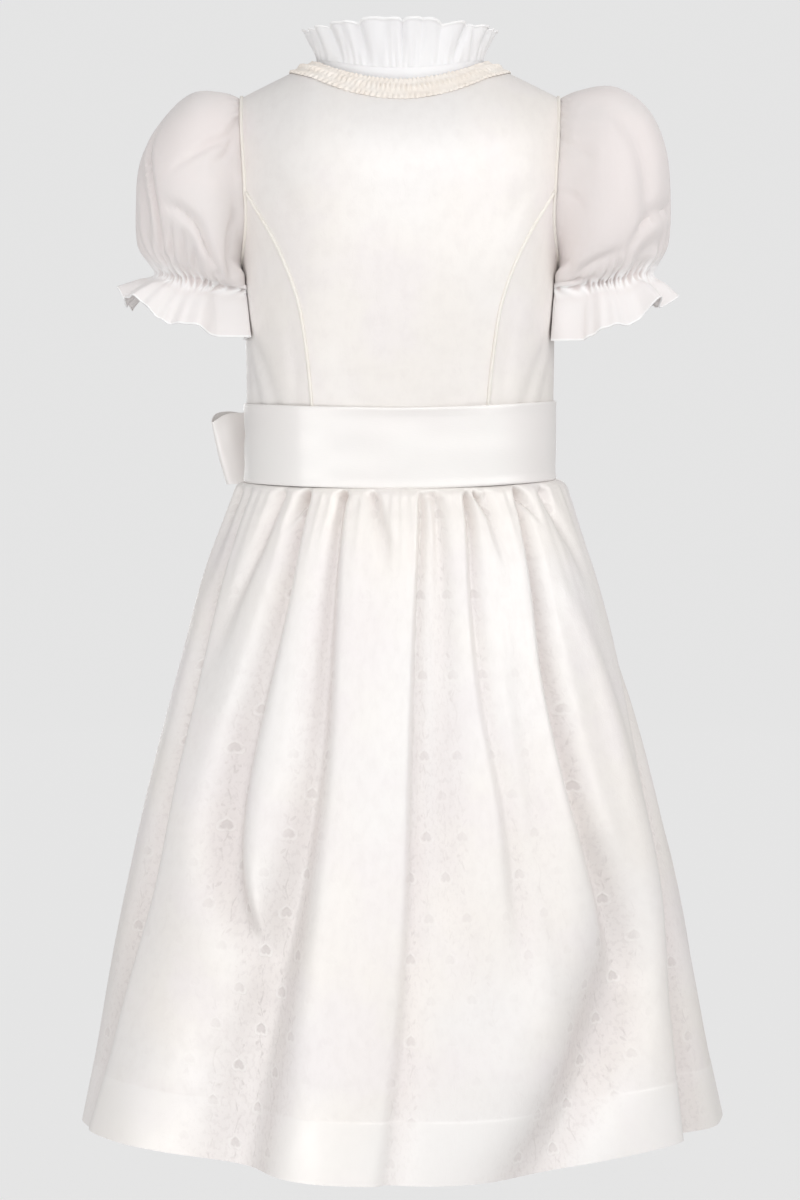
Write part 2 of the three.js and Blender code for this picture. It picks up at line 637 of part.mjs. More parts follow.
function sleeve(hand) {
  const rings = SLEEVE.length;
  const frillStart = (ELASTIC_RING + 1) / rings;
  const at = (s, t) => {
    const round = s * 360;
    const place = clamp(t) * rings;
    const ring = Math.min(Math.floor(place), rings - 1);
    const point = sleeveRing(ring, round).lerp(sleeveRing(ring + 1, round), place - ring);
    const frill = clamp((t - frillStart) / (1 - frillStart));
    const outer = 0.5 + 0.5 * Math.cos(round * DEG);
    point.z += FRILL_WAVE * frill * Math.cos(FRILL_WAVES * round * DEG) * outer;
    point.x = point.x * hand;
    return point;
  };
  return wall({
    columns: evenly(16),
    rows: evenly(rings),
    at,
    thick: COTTON,
    closed: true,
    turned: hand < 0,
  });
}
piece("sleeve_left", sleeve(1), cotton);
piece("sleeve_right", sleeve(-1), cotton);

// ---- Skirt ----
const skirtSide = curve(SKIRT, "z", "side");
const skirtBack = curve(SKIRT, "z", "back");
const skirtFront = curve(SKIRT, "z", "front");
const troughs = TROUGHS.map(({ from, to, turn, deep, wide }) => ({
  from,
  to,
  turn: through(turn),
  deep: through(deep),
  wide: through(wide),
}));

// Depth of all troughs together at a point of the skirt.
function troughDepth(turn, z) {
  let depth = 0;
  for (const trough of troughs) {
    const share = (z - trough.from) / (trough.to - trough.from);
    if (share < 0 || share > 1) continue;
    const away = ((turn - trough.turn(share) + 540) % 360) - 180;
    depth += trough.deep(share) * Math.exp(-((away / trough.wide(share)) ** 2));
  }
  return depth * ease((-311.6 - z) / 9);
}

function skirtPoint(turn, z) {
  const depth = facesBack(turn) ? skirtBack(z) : skirtFront(z);
  const radius = ovalRadius(skirtSide(z), depth, SKIRT_POWER, turn) - troughDepth(turn, z);
  const raised = ease((WAIST - z) / 5) * (1 - ease((WAIST - z - 5) / 60));
  return polar(radius, turn, z + waistTilt(turn) * raised);
}

const FOLD_ROWS = [-311.6, -316, -322, -350, -400, -475, -570, -670];
const SKIRT_ROWS = [WAIST - SEAM / 2, ...FOLD_ROWS, HEM + HEM_DEPTH, HEM];

// Turns of a panel's columns at a height: its edges, the troughs within, and two more between each.
function columnTurns(from, to, z) {
  const past = (turn) => (turn - from + 360) % 360;
  const within = troughs
    .filter(({ turn }) => past(turn(0)) > 4 && past(turn(0)) < 176)
    .map((trough) => from + past(trough.turn((z - trough.from) / (trough.to - trough.from))))
    .sort((a, b) => a - b);
  const valleys = [from, ...within, to];
  for (let i = 1; i < valleys.length - 1; i++) valleys[i] = Math.max(valleys[i], valleys[i - 1] + 1.5);
  return valleys.slice(1).flatMap((valley, i) => {
    const last = valleys[i];
    return [last, mix(last, valley, 1 / 3), mix(last, valley, 2 / 3)];
  }).concat(to);
}

function skirtPanel(from, to) {
  const count = columnTurns(from, to, HEM).length - 1;
  const rows = SKIRT_ROWS.length - 1;
  const place = (share, steps) => {
    const index = Math.min(Math.floor(clamp(share) * steps), steps - 1);
    return [index, clamp(share) * steps - index];
  };
  const at = (s, t) => {
    const [row, down] = place(t, rows);
    const z = mix(SKIRT_ROWS[row], SKIRT_ROWS[row + 1], down);
    const turns = columnTurns(from, to, z);
    const [column, on] = place(s, count);
    const turn = mix(turns[column], turns[column + 1], on);
    return besideSeam(skirtPoint(turn, z), from < 0 ? SEAM / 2 : -SEAM / 2);
  };
  const thick = (s, t) => (t > 1 - 1.5 / rows ? BROCADE + 0.8 : BROCADE);
  return wall({ columns: evenly(count), rows: evenly(rows), at, thick, turned: true });
}
piece("skirt_back", skirtPanel(-90, 90), brocade);
piece("skirt_front", skirtPanel(90, 270), brocade);

// ---- Sash and bow ----
const sashLift = (x, y) => REST + 0.1 + SATIN + (y < 0 ? lapLift(x, 6) : 0);
function sashBand() {
  const at = (s, t) => torso(s * 360, mix(SASH.bottom, SASH.top, t) + waistTilt(s * 360));
  return wall({
    columns: evenly(48),
    rows: [0, 1],
    at,
    lift: (s, t) => sashLift(at(s, t).x, at(s, t).y),
    thick: SATIN,
    closed: true,
  });
}
piece("sash_band", sashBand(), satin);

// The bow stands on the band; its own directions are along the waist, away from it, and up.
const knotOut = outwardOf(KNOT.turn, KNOT.z).setZ(0).normalize();
const knotAlong = new THREE.Vector3(knotOut.y, -knotOut.x, 0); // towards the centre front
const knotFoot = torso(KNOT.turn, KNOT.z).addScaledVector(knotOut, REST + SATIN + REST + 0.6);
const bowPoint = (along, out, up) =>
  knotFoot
    .clone()
    .addScaledVector(knotAlong, along)
    .addScaledVector(knotOut, out)
    .add(new THREE.Vector3(0, 0, up));

// The knot is wrapped round the bow's middle; the loops leave it at both sides.
function sashKnot() {
  const { width, height, depth } = KNOT;
  const at = (s, t) => {
    const radius = ovalRadius(height / 2, depth / 2, 2.6, s * 360) * (1 - 0.06 * (2 * t - 1) ** 2);
    const out = depth / 2 + radius * Math.cos(s * 360 * DEG);
    return bowPoint((t - 0.5) * width, out, radius * Math.sin(s * 360 * DEG));
  };
  return wall({ columns: evenly(14), rows: evenly(2), at, thick: SATIN, closed: true, turned: true });
}
piece("sash_knot", sashKnot(), satin);

// A loop leaves the knot, turns back at its tip and returns. `way` is 1 towards the front.
const loopAlong = curve(LOOP, "share", "along");
const loopOut = curve(LOOP, "share", "out");
const loopTall = curve(LOOP, "share", "tall");
const loopUp = curve(LOOP, "share", "up");
function bowLoop(way) {
  const at = (s, t) =>
    bowPoint(
      way * (loopAlong(s) - LOOP_SLANT * ease(s * 2.5) * ease(2.5 - s * 2.5) * (1 - t)),
      loopOut(s),
      loopUp(s) + (t - 0.5) * loopTall(s),
    );
  return wall({ columns: evenly(16), rows: evenly(2), at, thick: SATIN, turned: way > 0 });
}
piece("bow_loop_front", bowLoop(1), satin);
piece("bow_loop_side", bowLoop(-1), satin);

// A tail leaves the knot, comes to lie on the skirt's folds and ends in a slanting cut. It turns
// from below the knot to `turnEnd`; `above` is how far it lies outside the folds.
function sashTail(turnTop, turnEnd, slope, above) {
  const outside = (turn, z) => {
    const knot = Math.hypot(torso(turn, TAIL.top).x, torso(turn, TAIL.top).y);
    const level = Math.min(z, TAIL.lying);
    const folds = ovalRadius(skirtSide(level), skirtFront(level), SKIRT_POWER, turn);
    return mix(knot, folds, clamp((TAIL.top - z) / (TAIL.top - TAIL.lying)) ** 0.6) + above;
  };
  const at = (s, t) => {
    const z = mix(TAIL.top, TAIL.bottom + slope * (s - 0.5), t);
    const wide = mix(KNOT.width * 0.8, TAIL.width, ease(t * 2.5));
    const middle = mix(turnTop, turnEnd, t);
    const turn = middle + ((s - 0.5) * wide) / (outside(middle, z) * DEG);
    return polar(outside(turn, z), turn, z);
  };
  return wall({
    columns: evenly(4),
    rows: [0, 0.05, 0.11, 0.25, 0.5, 0.75, 1],
    at,
    thick: SATIN,
    turned: true,
  });
}
piece("sash_tail_side", sashTail(KNOT.turn - 3, 116, -22, 6), satin);
piece("sash_tail_front", sashTail(KNOT.turn + 3, 140, 22, 10.5), satin);

export default dirndl;
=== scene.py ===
"""A girl's festive dirndl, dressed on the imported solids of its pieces.

Sizes in the classes are millimetres, as a cutter gives them; the meshes they build are in metres.
The wearer looks along -Y, so the back faces +Y and the wearer's left is +X. A "turn" is an angle
about Z in degrees: 0 at the centre back, 90 at the left side, 180 at the centre front.
"""

import logging
import math
from dataclasses import dataclass
from enum import Enum
from functools import cached_property
from typing import Callable, Sequence

import bmesh
import bpy
import numpy as np
from mathutils import Matrix, Vector


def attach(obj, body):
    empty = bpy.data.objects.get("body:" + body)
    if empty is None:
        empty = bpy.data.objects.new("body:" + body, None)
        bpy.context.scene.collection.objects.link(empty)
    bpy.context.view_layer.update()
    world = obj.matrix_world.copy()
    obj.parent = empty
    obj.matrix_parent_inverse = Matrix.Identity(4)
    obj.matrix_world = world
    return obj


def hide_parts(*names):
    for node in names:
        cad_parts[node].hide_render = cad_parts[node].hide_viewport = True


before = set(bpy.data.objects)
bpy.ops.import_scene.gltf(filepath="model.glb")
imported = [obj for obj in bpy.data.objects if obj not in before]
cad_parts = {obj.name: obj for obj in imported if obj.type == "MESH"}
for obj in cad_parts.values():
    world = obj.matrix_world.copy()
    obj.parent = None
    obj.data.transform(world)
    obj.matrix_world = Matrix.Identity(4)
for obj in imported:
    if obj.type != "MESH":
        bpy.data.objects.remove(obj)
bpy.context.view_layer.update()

logging.basicConfig(level=logging.INFO, format="%(message)s")
log = logging.getLogger("dirndl")

Array = np.ndarray
Piece = bpy.types.Object
Material = bpy.types.Material
Locate = Callable[[Array, Array], Array]
MM = 0.001  # metres in a millimetre
DEG = math.pi / 180


class Side(Enum):
    """The wearer's own left or right."""

    LEFT = 1
    RIGHT = -1


class Slot(Enum):
    """The record's material slots."""

    BROCADE = "brocade"
    SATIN = "satin"
    COTTON = "blouse_cotton"
    TRIM = "trim"
    PIPING = "piping"
    BUTTON = "button"


class Held(Enum):
    """How a sheet of cloth is held in the worn dress."""

    HUNG = "hung"
    GATHERED = "gathered"
    LAID = "laid"
    FOLDED = "folded"
    STRETCHED = "stretched"


# --- Curves, folds and small helpers ---


def mix(low: Array, high: Array, share: Array) -> Array:
    """Goes from low to high as share goes from 0 to 1."""
    return low + (high - low) * share


def ease(share: Array) -> Array:
    """Eases from 0 to 1, level at both ends."""
    held = np.clip(share, 0, 1)
    return held * held * (3 - 2 * held)


def bump(away: Array) -> Array:
    """A soft hill of height 1, one unit in half-width."""
    return np.exp(-np.square(away))


def unit(vectors: Array) -> Array:
    """The vectors at length 1."""
    return vectors / np.maximum(np.linalg.norm(vectors, axis=-1, keepdims=True), 1e-9)


def joined(*parts: Array) -> Array:
    """Points from their coordinates, each a number or a grid."""
    return np.stack(np.broadcast_arrays(*parts), -1).astype(float)


def turned_between(turn: Array, other: Array) -> Array:
    """How far one turn is from another, from -180 to 180 degrees."""
    return (turn - other + 540) % 360 - 180


class Curve:
    """A smooth line through pairs of values.

    Args:
        at: Where the values stand, in rising or falling order.
        value: The value at each place.
    """

    def __init__(self, at: Sequence[float], value: Sequence[float]) -> None:
        """Sorts the pairs and works out the slope at each."""
        order = np.argsort(at)
        self.at = np.asarray(at, float)[order]
        self.value = np.asarray(value, float)[order]
        steps = np.arange(len(order))
        low, high = np.maximum(steps - 1, 0), np.minimum(steps + 1, steps[-1])
        rise = self.value[high] - self.value[low]
        self.slope = rise / (self.at[high] - self.at[low])

    def __call__(self, at: Array) -> Array:
        """Reads the line; beyond its ends it stays at the end values."""
        held = np.clip(at, self.at[0], self.at[-1])
        i = np.clip(np.searchsorted(self.at, held, side="right") - 1, 0, len(self.at) - 2)
        span = self.at[i + 1] - self.at[i]
        t = (held - self.at[i]) / span
        leave = t * (1 - t) ** 2 * self.slope[i] * span
        arrive = t * t * (t - 1) * self.slope[i + 1] * span
        return mix(self.value[i], self.value[i + 1], ease(t)) + leave + arrive


def through(values: Sequence[float]) -> Curve:
    """A smooth line through values at even steps from 0 to 1."""
    return Curve(np.linspace(0, 1, len(values)), values)


def lines(rows: Sequence[Sequence[float]]) -> list[Curve]:
    """Smooth lines from the first measure of some rows to each of their other ones."""
    at, *measures = zip(*rows)
    return [Curve(at, values) for values in measures]


def oval_radius(side: Array, depth: Array, power: float, turn: Array) -> Array:
    """Radius of a rounded oval in the direction of a turn.

    Args:
        side: Half-width along X.
        depth: Half-depth along Y.
        power: 2 for an ellipse, more for a squarer oval.
        turn: The direction, in degrees.

    Returns:
        The distance from the oval's middle to its edge.
    """
    across = np.abs(np.sin(turn * DEG)) / side
    along = np.abs(np.cos(turn * DEG)) / depth
    return (across**power + along**power) ** (-1 / power)


def polar(radius: Array, turn: Array, z: Array, mid_y: float = 0) -> Array:
    """The point at a radius, turn and height."""
    return joined(radius * np.sin(turn * DEG), mid_y + radius * np.cos(turn * DEG), z)


def faces_back(turn: Array) -> Array:
    """Whether a turn looks backward."""
    return np.cos(turn * DEG) >= 0


class Drift:
    """A slow, uneven swell over a surface, the same on every run.

    Args:
        seed: Picks one of many swells.
        size: How many swells there are to one unit of u and of v.
    """

    COUNT = 64

    def __init__(self, seed: int, size: tuple[float, float]) -> None:
        """Draws the heights at the corners of a grid."""
        self.heights = np.random.default_rng(seed).uniform(-1, 1, (self.COUNT, self.COUNT))
        self.size = size

    def __call__(self, u: Array, v: Array) -> Array:
        """The swell at a place, from about -1 to 1."""
        x, y = np.asarray(u) * self.size[0], np.asarray(v) * self.size[1]
        i, j = np.floor(x).astype(int), np.floor(y).astype(int)
        s, t = ease(x - i), ease(y - j)
        i, j = (i, i + 1), (j, j + 1)
        rows = [[self.heights[a % self.COUNT, b % self.COUNT] for a in i] for b in j]
        return mix(mix(*rows[0], s), mix(*rows[1], s), t)


@dataclass(frozen=True)
class Crease:
    """A soft trough in cloth, or a ridge where its depth is negative.

    Attributes:
        path: Places along it, in the two measures that the piece is laid out by.
        deep: Depths in millimetres at even steps along the path.
        wide: Half-width in millimetres.
    """

    path: tuple[tuple[float, float], ...]
    deep: tuple[float, ...]
    wide: float

    def pressed(self, points: Array, locate: Locate) -> Array:
        """How deep the crease presses each point.

        Args:
            points: The cloth's points, in millimetres.
            locate: Gives the points of places on the cloth.

        Returns:
            The depth at each point.
        """
        share = np.linspace(0, 1, 72)
        line = locate(*(through([place[i] for place in self.path])(share) for i in (0, 1)))
        depth = through(self.deep)(share)
        flat = points.reshape(-1, 3)
        reach = 3 * self.wide
        near = np.flatnonzero(((flat > line.min(0) - reach) & (flat < line.max(0) + reach)).all(1))
        gaps = np.linalg.norm(flat[near, None] - line[None], axis=2)
        pressed = np.zeros(len(flat))
        pressed[near] = depth[gaps.argmin(1)] * bump(gaps.min(1) / self.wide)
        return pressed.reshape(points.shape[:-1])


def pressed_by(creases: Sequence[Crease], points: Array, locate: Locate) -> Array:
    """The depth of several creases together at each point."""
    return sum((crease.pressed(points, locate) for crease in creases), np.zeros(points.shape[:-1]))


def grid_normals(points: Array, closed: bool, turned: bool = False) -> Array:
    """Normals of a grid of points.

    Args:
        points: The grid, rows by columns by 3.
        closed: Whether the last column meets the first.
        turned: Whether to turn the normals round.

    Returns:
        A unit normal for each point.
    """
    if closed:
        across = np.roll(points, -1, 1) - np.roll(points, 1, 1)
    else:
        across = np.gradient(points, axis=1)
    normals = unit(np.cross(np.gradient(points, axis=0), across))
    return -normals if turned else normals


def run_along(points: Array, axis: int = 0) -> Array:
    """How far each point lies from the first one, along its column or row."""
    steps = np.diff(points, axis=axis, prepend=points.take([0], axis))
    return np.linalg.norm(steps, axis=-1).cumsum(axis)


def faces_of(grid: Array, backward: bool = False) -> Array:
    """The four corners of each face of a grid of numbers, round one way or the other."""
    corners = [grid[:-1, :-1], grid[1:, :-1], grid[1:, 1:], grid[:-1, 1:]]
    if backward:
        corners = corners[:1] + corners[:0:-1]
    return np.stack(corners, -1).reshape(-1, 4)


def tube_faces(rows: int, columns: int) -> tuple[Array, Array, Array]:
    """The faces of a grid whose last column meets its first, and their corners' columns and rows."""
    grid = np.arange(rows * (columns + 1)).reshape(rows, -1)
    j, i = np.unravel_index(faces_of(grid, backward=True), grid.shape)
    return j * columns + i % columns, i, j


def lay_flat(piece: Piece, flat: Array) -> None:
    """Gives the mesh its place on the flat cloth as a UV map "cut", in metres."""
    layer = piece.data.uv_layers.new(name="cut")
    layer.data.foreach_set("uv", (flat * MM).astype(np.float32).ravel())


def edge_shares(count: int, length: float, close: Sequence[float]) -> Array:
    """Even steps from 0 to 1 with more of them close to both ends.

    Args:
        count: How many even steps.
        length: The length from 0 to 1, in millimetres.
        close: Distances from each end, in millimetres, that get a step of their own.

    Returns:
        The shares in rising order.
    """
    ends = np.array(close) / length
    inner = np.linspace(0, 1, count + 1)[1:-1]
    kept = inner[(inner > ends.max() * 1.3) & (inner < 1 - ends.max() * 1.3)]
    return np.concatenate([[0], ends, kept, 1 - ends[::-1], [1]])


# --- Making meshes ---


def only(piece: Piece) -> None:
    """Selects one object alone and makes it the active one."""
    bpy.ops.object.select_all(action="DESELECT")
    piece.select_set(True)
    bpy.context.view_layer.objects.active = piece


def mesh_piece(name: str, points: Array, faces: list[tuple[int, ...]]) -> Piece:
    """A smooth mesh object from points in millimetres."""
    mesh = bpy.data.meshes.new(name)
    mesh.from_pydata((points * MM).tolist(), [], faces)
    piece = bpy.data.objects.new(name, mesh)
    bpy.context.scene.collection.objects.link(piece)
    mesh.shade_smooth()
    return piece


def facing_out(piece: Piece) -> None:
    """Turns a closed mesh's faces outward."""
    shape = bmesh.new()
    shape.from_mesh(piece.data)
    if shape.calc_volume(signed=True) < 0:
        bmesh.ops.reverse_faces(shape, faces=shape.faces)
    shape.to_mesh(piece.data)
    shape.free()


def crisp_edges(piece: Piece, degrees: float = 50) -> None:
    """Keeps cut edges crisp and everything else smooth."""
    only(piece)
    bpy.ops.object.shade_smooth_by_angle(angle=math.radians(degrees))


@dataclass
class Cloth:
    """A sheet of cloth laid out as a grid of points on its outer face.

    Attributes:
        outer: The outer face, rows by columns by 3, in millimetres.
        cut: Where each point lies on the flat cloth, in millimetres, with one more column
            than `outer` where the sheet is closed.
        thick: Thickness in millimetres, all over or point by point.
        closed: Whether the last column meets the first.
        turned: Whether the grid's own normals point inward.
        spread: How much of the flat cloth's width shows, from 0 to 1; gathers hide the rest.
        doubled: 1 where the cloth lies in two layers, as in a hem, and 0 elsewhere; on the sleeves it also
            carries a painted highlight on the gathers' crests and a paler frill.
        hollow: How far the cloth lies in the shade of a fold, from 0 to 1; the brocade paints shade, darker
            figures and flecks by it.
    """

    name: str
    outer: Array
    cut: Array
    thick: Array | float
    closed: bool = False
    turned: bool = False
    spread: Array | float = 1.0
    doubled: Array | float = 0.0
    hollow: Array | float = 0.0

    def area(self) -> float:
        """The sheet's area in square metres, half-way through its thickness."""
        middle = self.outer - self.normals() * np.asarray(self.thick)[..., None] * 0.5
        if self.closed:
            middle = np.concatenate([middle, middle[:, :1]], 1)
        one, two = middle[1:, 1:] - middle[:-1, :-1], middle[1:, :-1] - middle[:-1, 1:]
        return float(np.linalg.norm(np.cross(one, two), axis=2).sum() / 2) * MM * MM

    def normals(self) -> Array:
        """Outward normals of the outer face."""
        return grid_normals(self.outer, self.closed, self.turned)

    def build(self) -> Piece:
        """Makes the mesh: both faces of the cloth and the rims between them."""
        inner = self.outer - self.normals() * np.broadcast_to(self.thick, self.outer.shape[:2])[..., None]
        points = np.concatenate([self.outer.reshape(-1, 3), inner.reshape(-1, 3)])
        faces, flat = self.faces()
        piece = mesh_piece(self.name, points, faces.tolist())
        lay_flat(piece, flat)
        for name in ("spread", "doubled", "hollow"):
            self.note(piece, name, getattr(self, name))
        facing_out(piece)
        crisp_edges(piece)
        return piece

    def faces(self) -> tuple[Array, Array]:
        """The faces of both sides and the rims as point numbers, and where their corners lie flat."""
        rows, columns = self.outer.shape[:2]
        grid = np.arange(2 * rows * (columns + self.closed)).reshape(2, rows, -1)
        sides = [faces_of(grid[0]), faces_of(grid[1], True)]
        sides += [faces_of(grid[:, 0], True), faces_of(grid[:, -1])]
        if not self.closed:
            sides += [faces_of(grid[:, :, 0]), faces_of(grid[:, :, -1], True)]
        face, j, i = np.unravel_index(np.concatenate(sides), grid.shape)
        return (face * rows + j) * columns + i % columns, self.cut[j, i]

    def note(self, piece: Piece, name: str, value: Array | float) -> None:
        """Stores a value of the outer face on both faces."""
        shape = self.outer.shape[:2]
        one = np.broadcast_to(np.asarray(value, np.float32), shape).ravel()
        attribute = piece.data.attributes.new(name, "FLOAT", "POINT")
        attribute.data.foreach_set("value", np.concatenate([one, one]))


def ring_cut(outer: Array, wide: float, long: float) -> Array:
    """Lays a closed ring of cloth out flat as a strip."""
    rows, columns = outer.shape[:2]
    cut = np.meshgrid(np.linspace(0, wide, columns + 1), np.linspace(0, long, rows))
    return np.stack(cut, -1)


def cord(name: str, path: Array, radius: float, sides: int = 10) -> Piece:
    """A round covered cord along a path, closed at its ends.

    Args:
        name: The piece's name.
        path: Points of its middle line, in millimetres.
        radius: Its radius in millimetres.
        sides: How many sides its section has.

    Returns:
        The mesh, with a UV map "cut" of its length and its girth.
    """
    along = unit(np.gradient(path, axis=0))
    across = [unit(np.cross(along[0], [0, 0, 1]))]
    for step in along[1:]:
        across.append(unit(across[-1] - step * (across[-1] @ step)))
    side_one = np.array(across)
    side_two = np.cross(along, side_one)
    angle = np.linspace(0, 2 * np.pi, sides, endpoint=False)[None, :, None]
    ring = np.cos(angle) * side_one[:, None] + np.sin(angle) * side_two[:, None]
    points = (path[:, None] + radius * ring).reshape(-1, 3)
    faces, i, j = tube_faces(len(path), sides)
    ends = [range(sides)[::-1], range(len(points) - sides, len(points))]
    piece = mesh_piece(name, points, faces.tolist() + [tuple(end) for end in ends])
    flat = joined(i * (2 * np.pi * radius / sides), run_along(path)[j]).reshape(-1, 2)
    lay_flat(piece, np.concatenate([flat, np.zeros((2 * sides, 2))]))
    facing_out(piece)
    return piece


# --- Finishes ---

Colour = tuple[float, float, float]
MIX_LOW, MIX_HIGH, MIX_RESULT = 6, 7, 2  # the colour sockets of a Mix node


@dataclass(frozen=True, eq=False)
class Reading:
    """A value read all over a finish; arithmetic on it lays out the nodes."""

    draft: "Draft"
    socket: bpy.types.NodeSocket

    def __add__(self, other: "Value") -> "Reading":
        """This plus another."""
        return self.draft.math("ADD", self, other)

    def __sub__(self, other: "Value") -> "Reading":
        """This less another."""
        return self.draft.math("SUBTRACT", self, other)

    def __rsub__(self, other: float) -> "Reading":
        """A number less this."""
        return self.draft.math("SUBTRACT", other, self)

    def __mul__(self, other: "Value") -> "Reading":
        """This times another."""
        return self.draft.math("MULTIPLY", self, other)

    __radd__, __rmul__ = __add__, __mul__


Value = Reading | float


class Draft:
    """A new material, and a short way to lay out its nodes."""

    def __init__(self, name: str) -> None:
        """Starts a material that holds only a shader and its output."""
        self.material = bpy.data.materials.new(name)
        self.material.use_nodes = True
        self.tree = self.material.node_tree
        self.tree.nodes.clear()
        self.shader = self.tree.nodes.new("ShaderNodeBsdfPrincipled")
        output = self.tree.nodes.new("ShaderNodeOutputMaterial")
        self.tree.links.new(self.shader.outputs["BSDF"], output.inputs["Surface"])

    def join(self, value: Value | tuple[float, ...], socket: bpy.types.NodeSocket) -> None:
        """Links a reading to a socket, or sets a number or a colour on it."""
        if isinstance(value, Reading):
            self.tree.links.new(value.socket, socket)
        else:
            socket.default_value = value

    def step(self, kind: str, out: int | str, given: dict, **settings: str) -> Reading:
        """Reads the output of one new node.

        Args:
            kind: The node's kind.
            out: The output that is read.
            given: What goes into it, by input.
            settings: The node's own settings.

        Returns:
            The reading.
        """
        node = self.tree.nodes.new("ShaderNode" + kind)
        for name, value in settings.items():
            setattr(node, name, value)
        for name, value in given.items():
            self.join(value, node.inputs[name])
        return Reading(self, node.outputs[out])

    def math(self, operation: str, *values: Value) -> Reading:
        """One step of arithmetic."""
        return self.step("Math", 0, dict(enumerate(values)), operation=operation)

    def within(self, value: Value, low: float, high: float) -> Reading:
        """Goes softly from 0 at low to 1 at high; low may be the larger."""
        ends = {"From Min": min(low, high), "From Max": max(low, high)}
        ends.update({"To Min": low > high, "To Max": low < high})
        return self.step("MapRange", "Result", {"Value": value, **ends}, interpolation_type="SMOOTHSTEP")

    def cut(self) -> tuple[Reading, Reading]:
        """Place on the flat cloth, in millimetres."""
        across = self.step("SeparateXYZ", "X", {0: self.step("UVMap", "UV", {}, uv_map="cut")})
        along = Reading(self, across.socket.node.outputs["Y"])
        return across * (1 / MM), along * (1 / MM)

    def noted(self, name: str) -> Reading:
        """A value stored on the mesh."""
        return self.step("Attribute", "Fac", {}, attribute_name=name)

    def cloud(self, scale: float, detail: float = 2, rough: float = 0.5) -> Reading:
        """Soft noise from 0 to 1 through the object, so many swells to a metre."""
        return self.noise(self.step("TexCoord", "Object", {}), scale, detail, rough)

    def threads(self, u: Reading, v: Reading, detail: float = 2, rough: float = 0.5) -> Reading:
        """Soft noise from 0 to 1 over the flat cloth, drawn out along its threads."""
        return self.noise(self.step("CombineXYZ", 0, {0: u, 1: v}), 1.0, detail, rough)

    def noise(self, where: Reading, scale: float, detail: float, rough: float) -> Reading:
        """Soft noise from 0 to 1."""
        given = {"Vector": where, "Scale": scale, "Detail": detail, "Roughness": rough}
        return self.step("TexNoise", "Fac", given)

    def blend(self, share: Value, low: Reading | Colour, high: Reading | Colour) -> Reading:
        """One colour turning into another."""
        low, high = (end if isinstance(end, Reading) else (*end, 1) for end in (low, high))
        given = {"Factor": share, MIX_LOW: low, MIX_HIGH: high}
        return self.step("Mix", MIX_RESULT, given, data_type="RGBA")

    def drifting(self, cloud: Reading, one: Colour, other: Colour) -> Reading:
        """A colour that drifts into another one with a cloud."""
        return self.blend(self.within(cloud, 0.35, 0.65), one, other)

    def relief(self, height: Reading, depth: float, **under: Reading) -> Reading:
        """A normal for fine relief, `depth` metres high, over any other Normal."""
        return self.step("Bump", "Normal", {"Distance": depth, "Height": height, **under})

    def finish(self, colour: Reading, rough: Value, normal: Reading, **fixed: float) -> Material:
        """Closes the material.

        Args:
            colour: The base colour.
            rough: Roughness, from 0 to 1.
            normal: The normal with the finest relief.
            fixed: Numbers for the shader's own sockets, by name, with _ for a space.

        Returns:
            The finished material.
        """
        fixed.update(Base_Color=colour, Roughness=rough, Normal=normal)
        for name, value in fixed.items():
            self.join(value, self.shader.inputs[name.replace("_", " ")])
        return self.material


@dataclass(frozen=True)
class Leaf:
    """One leaf of a sprig: its middle, half-length, half-width and lean in degrees."""

    x: float
    y: float
    long: float
    wide: float
    lean: float


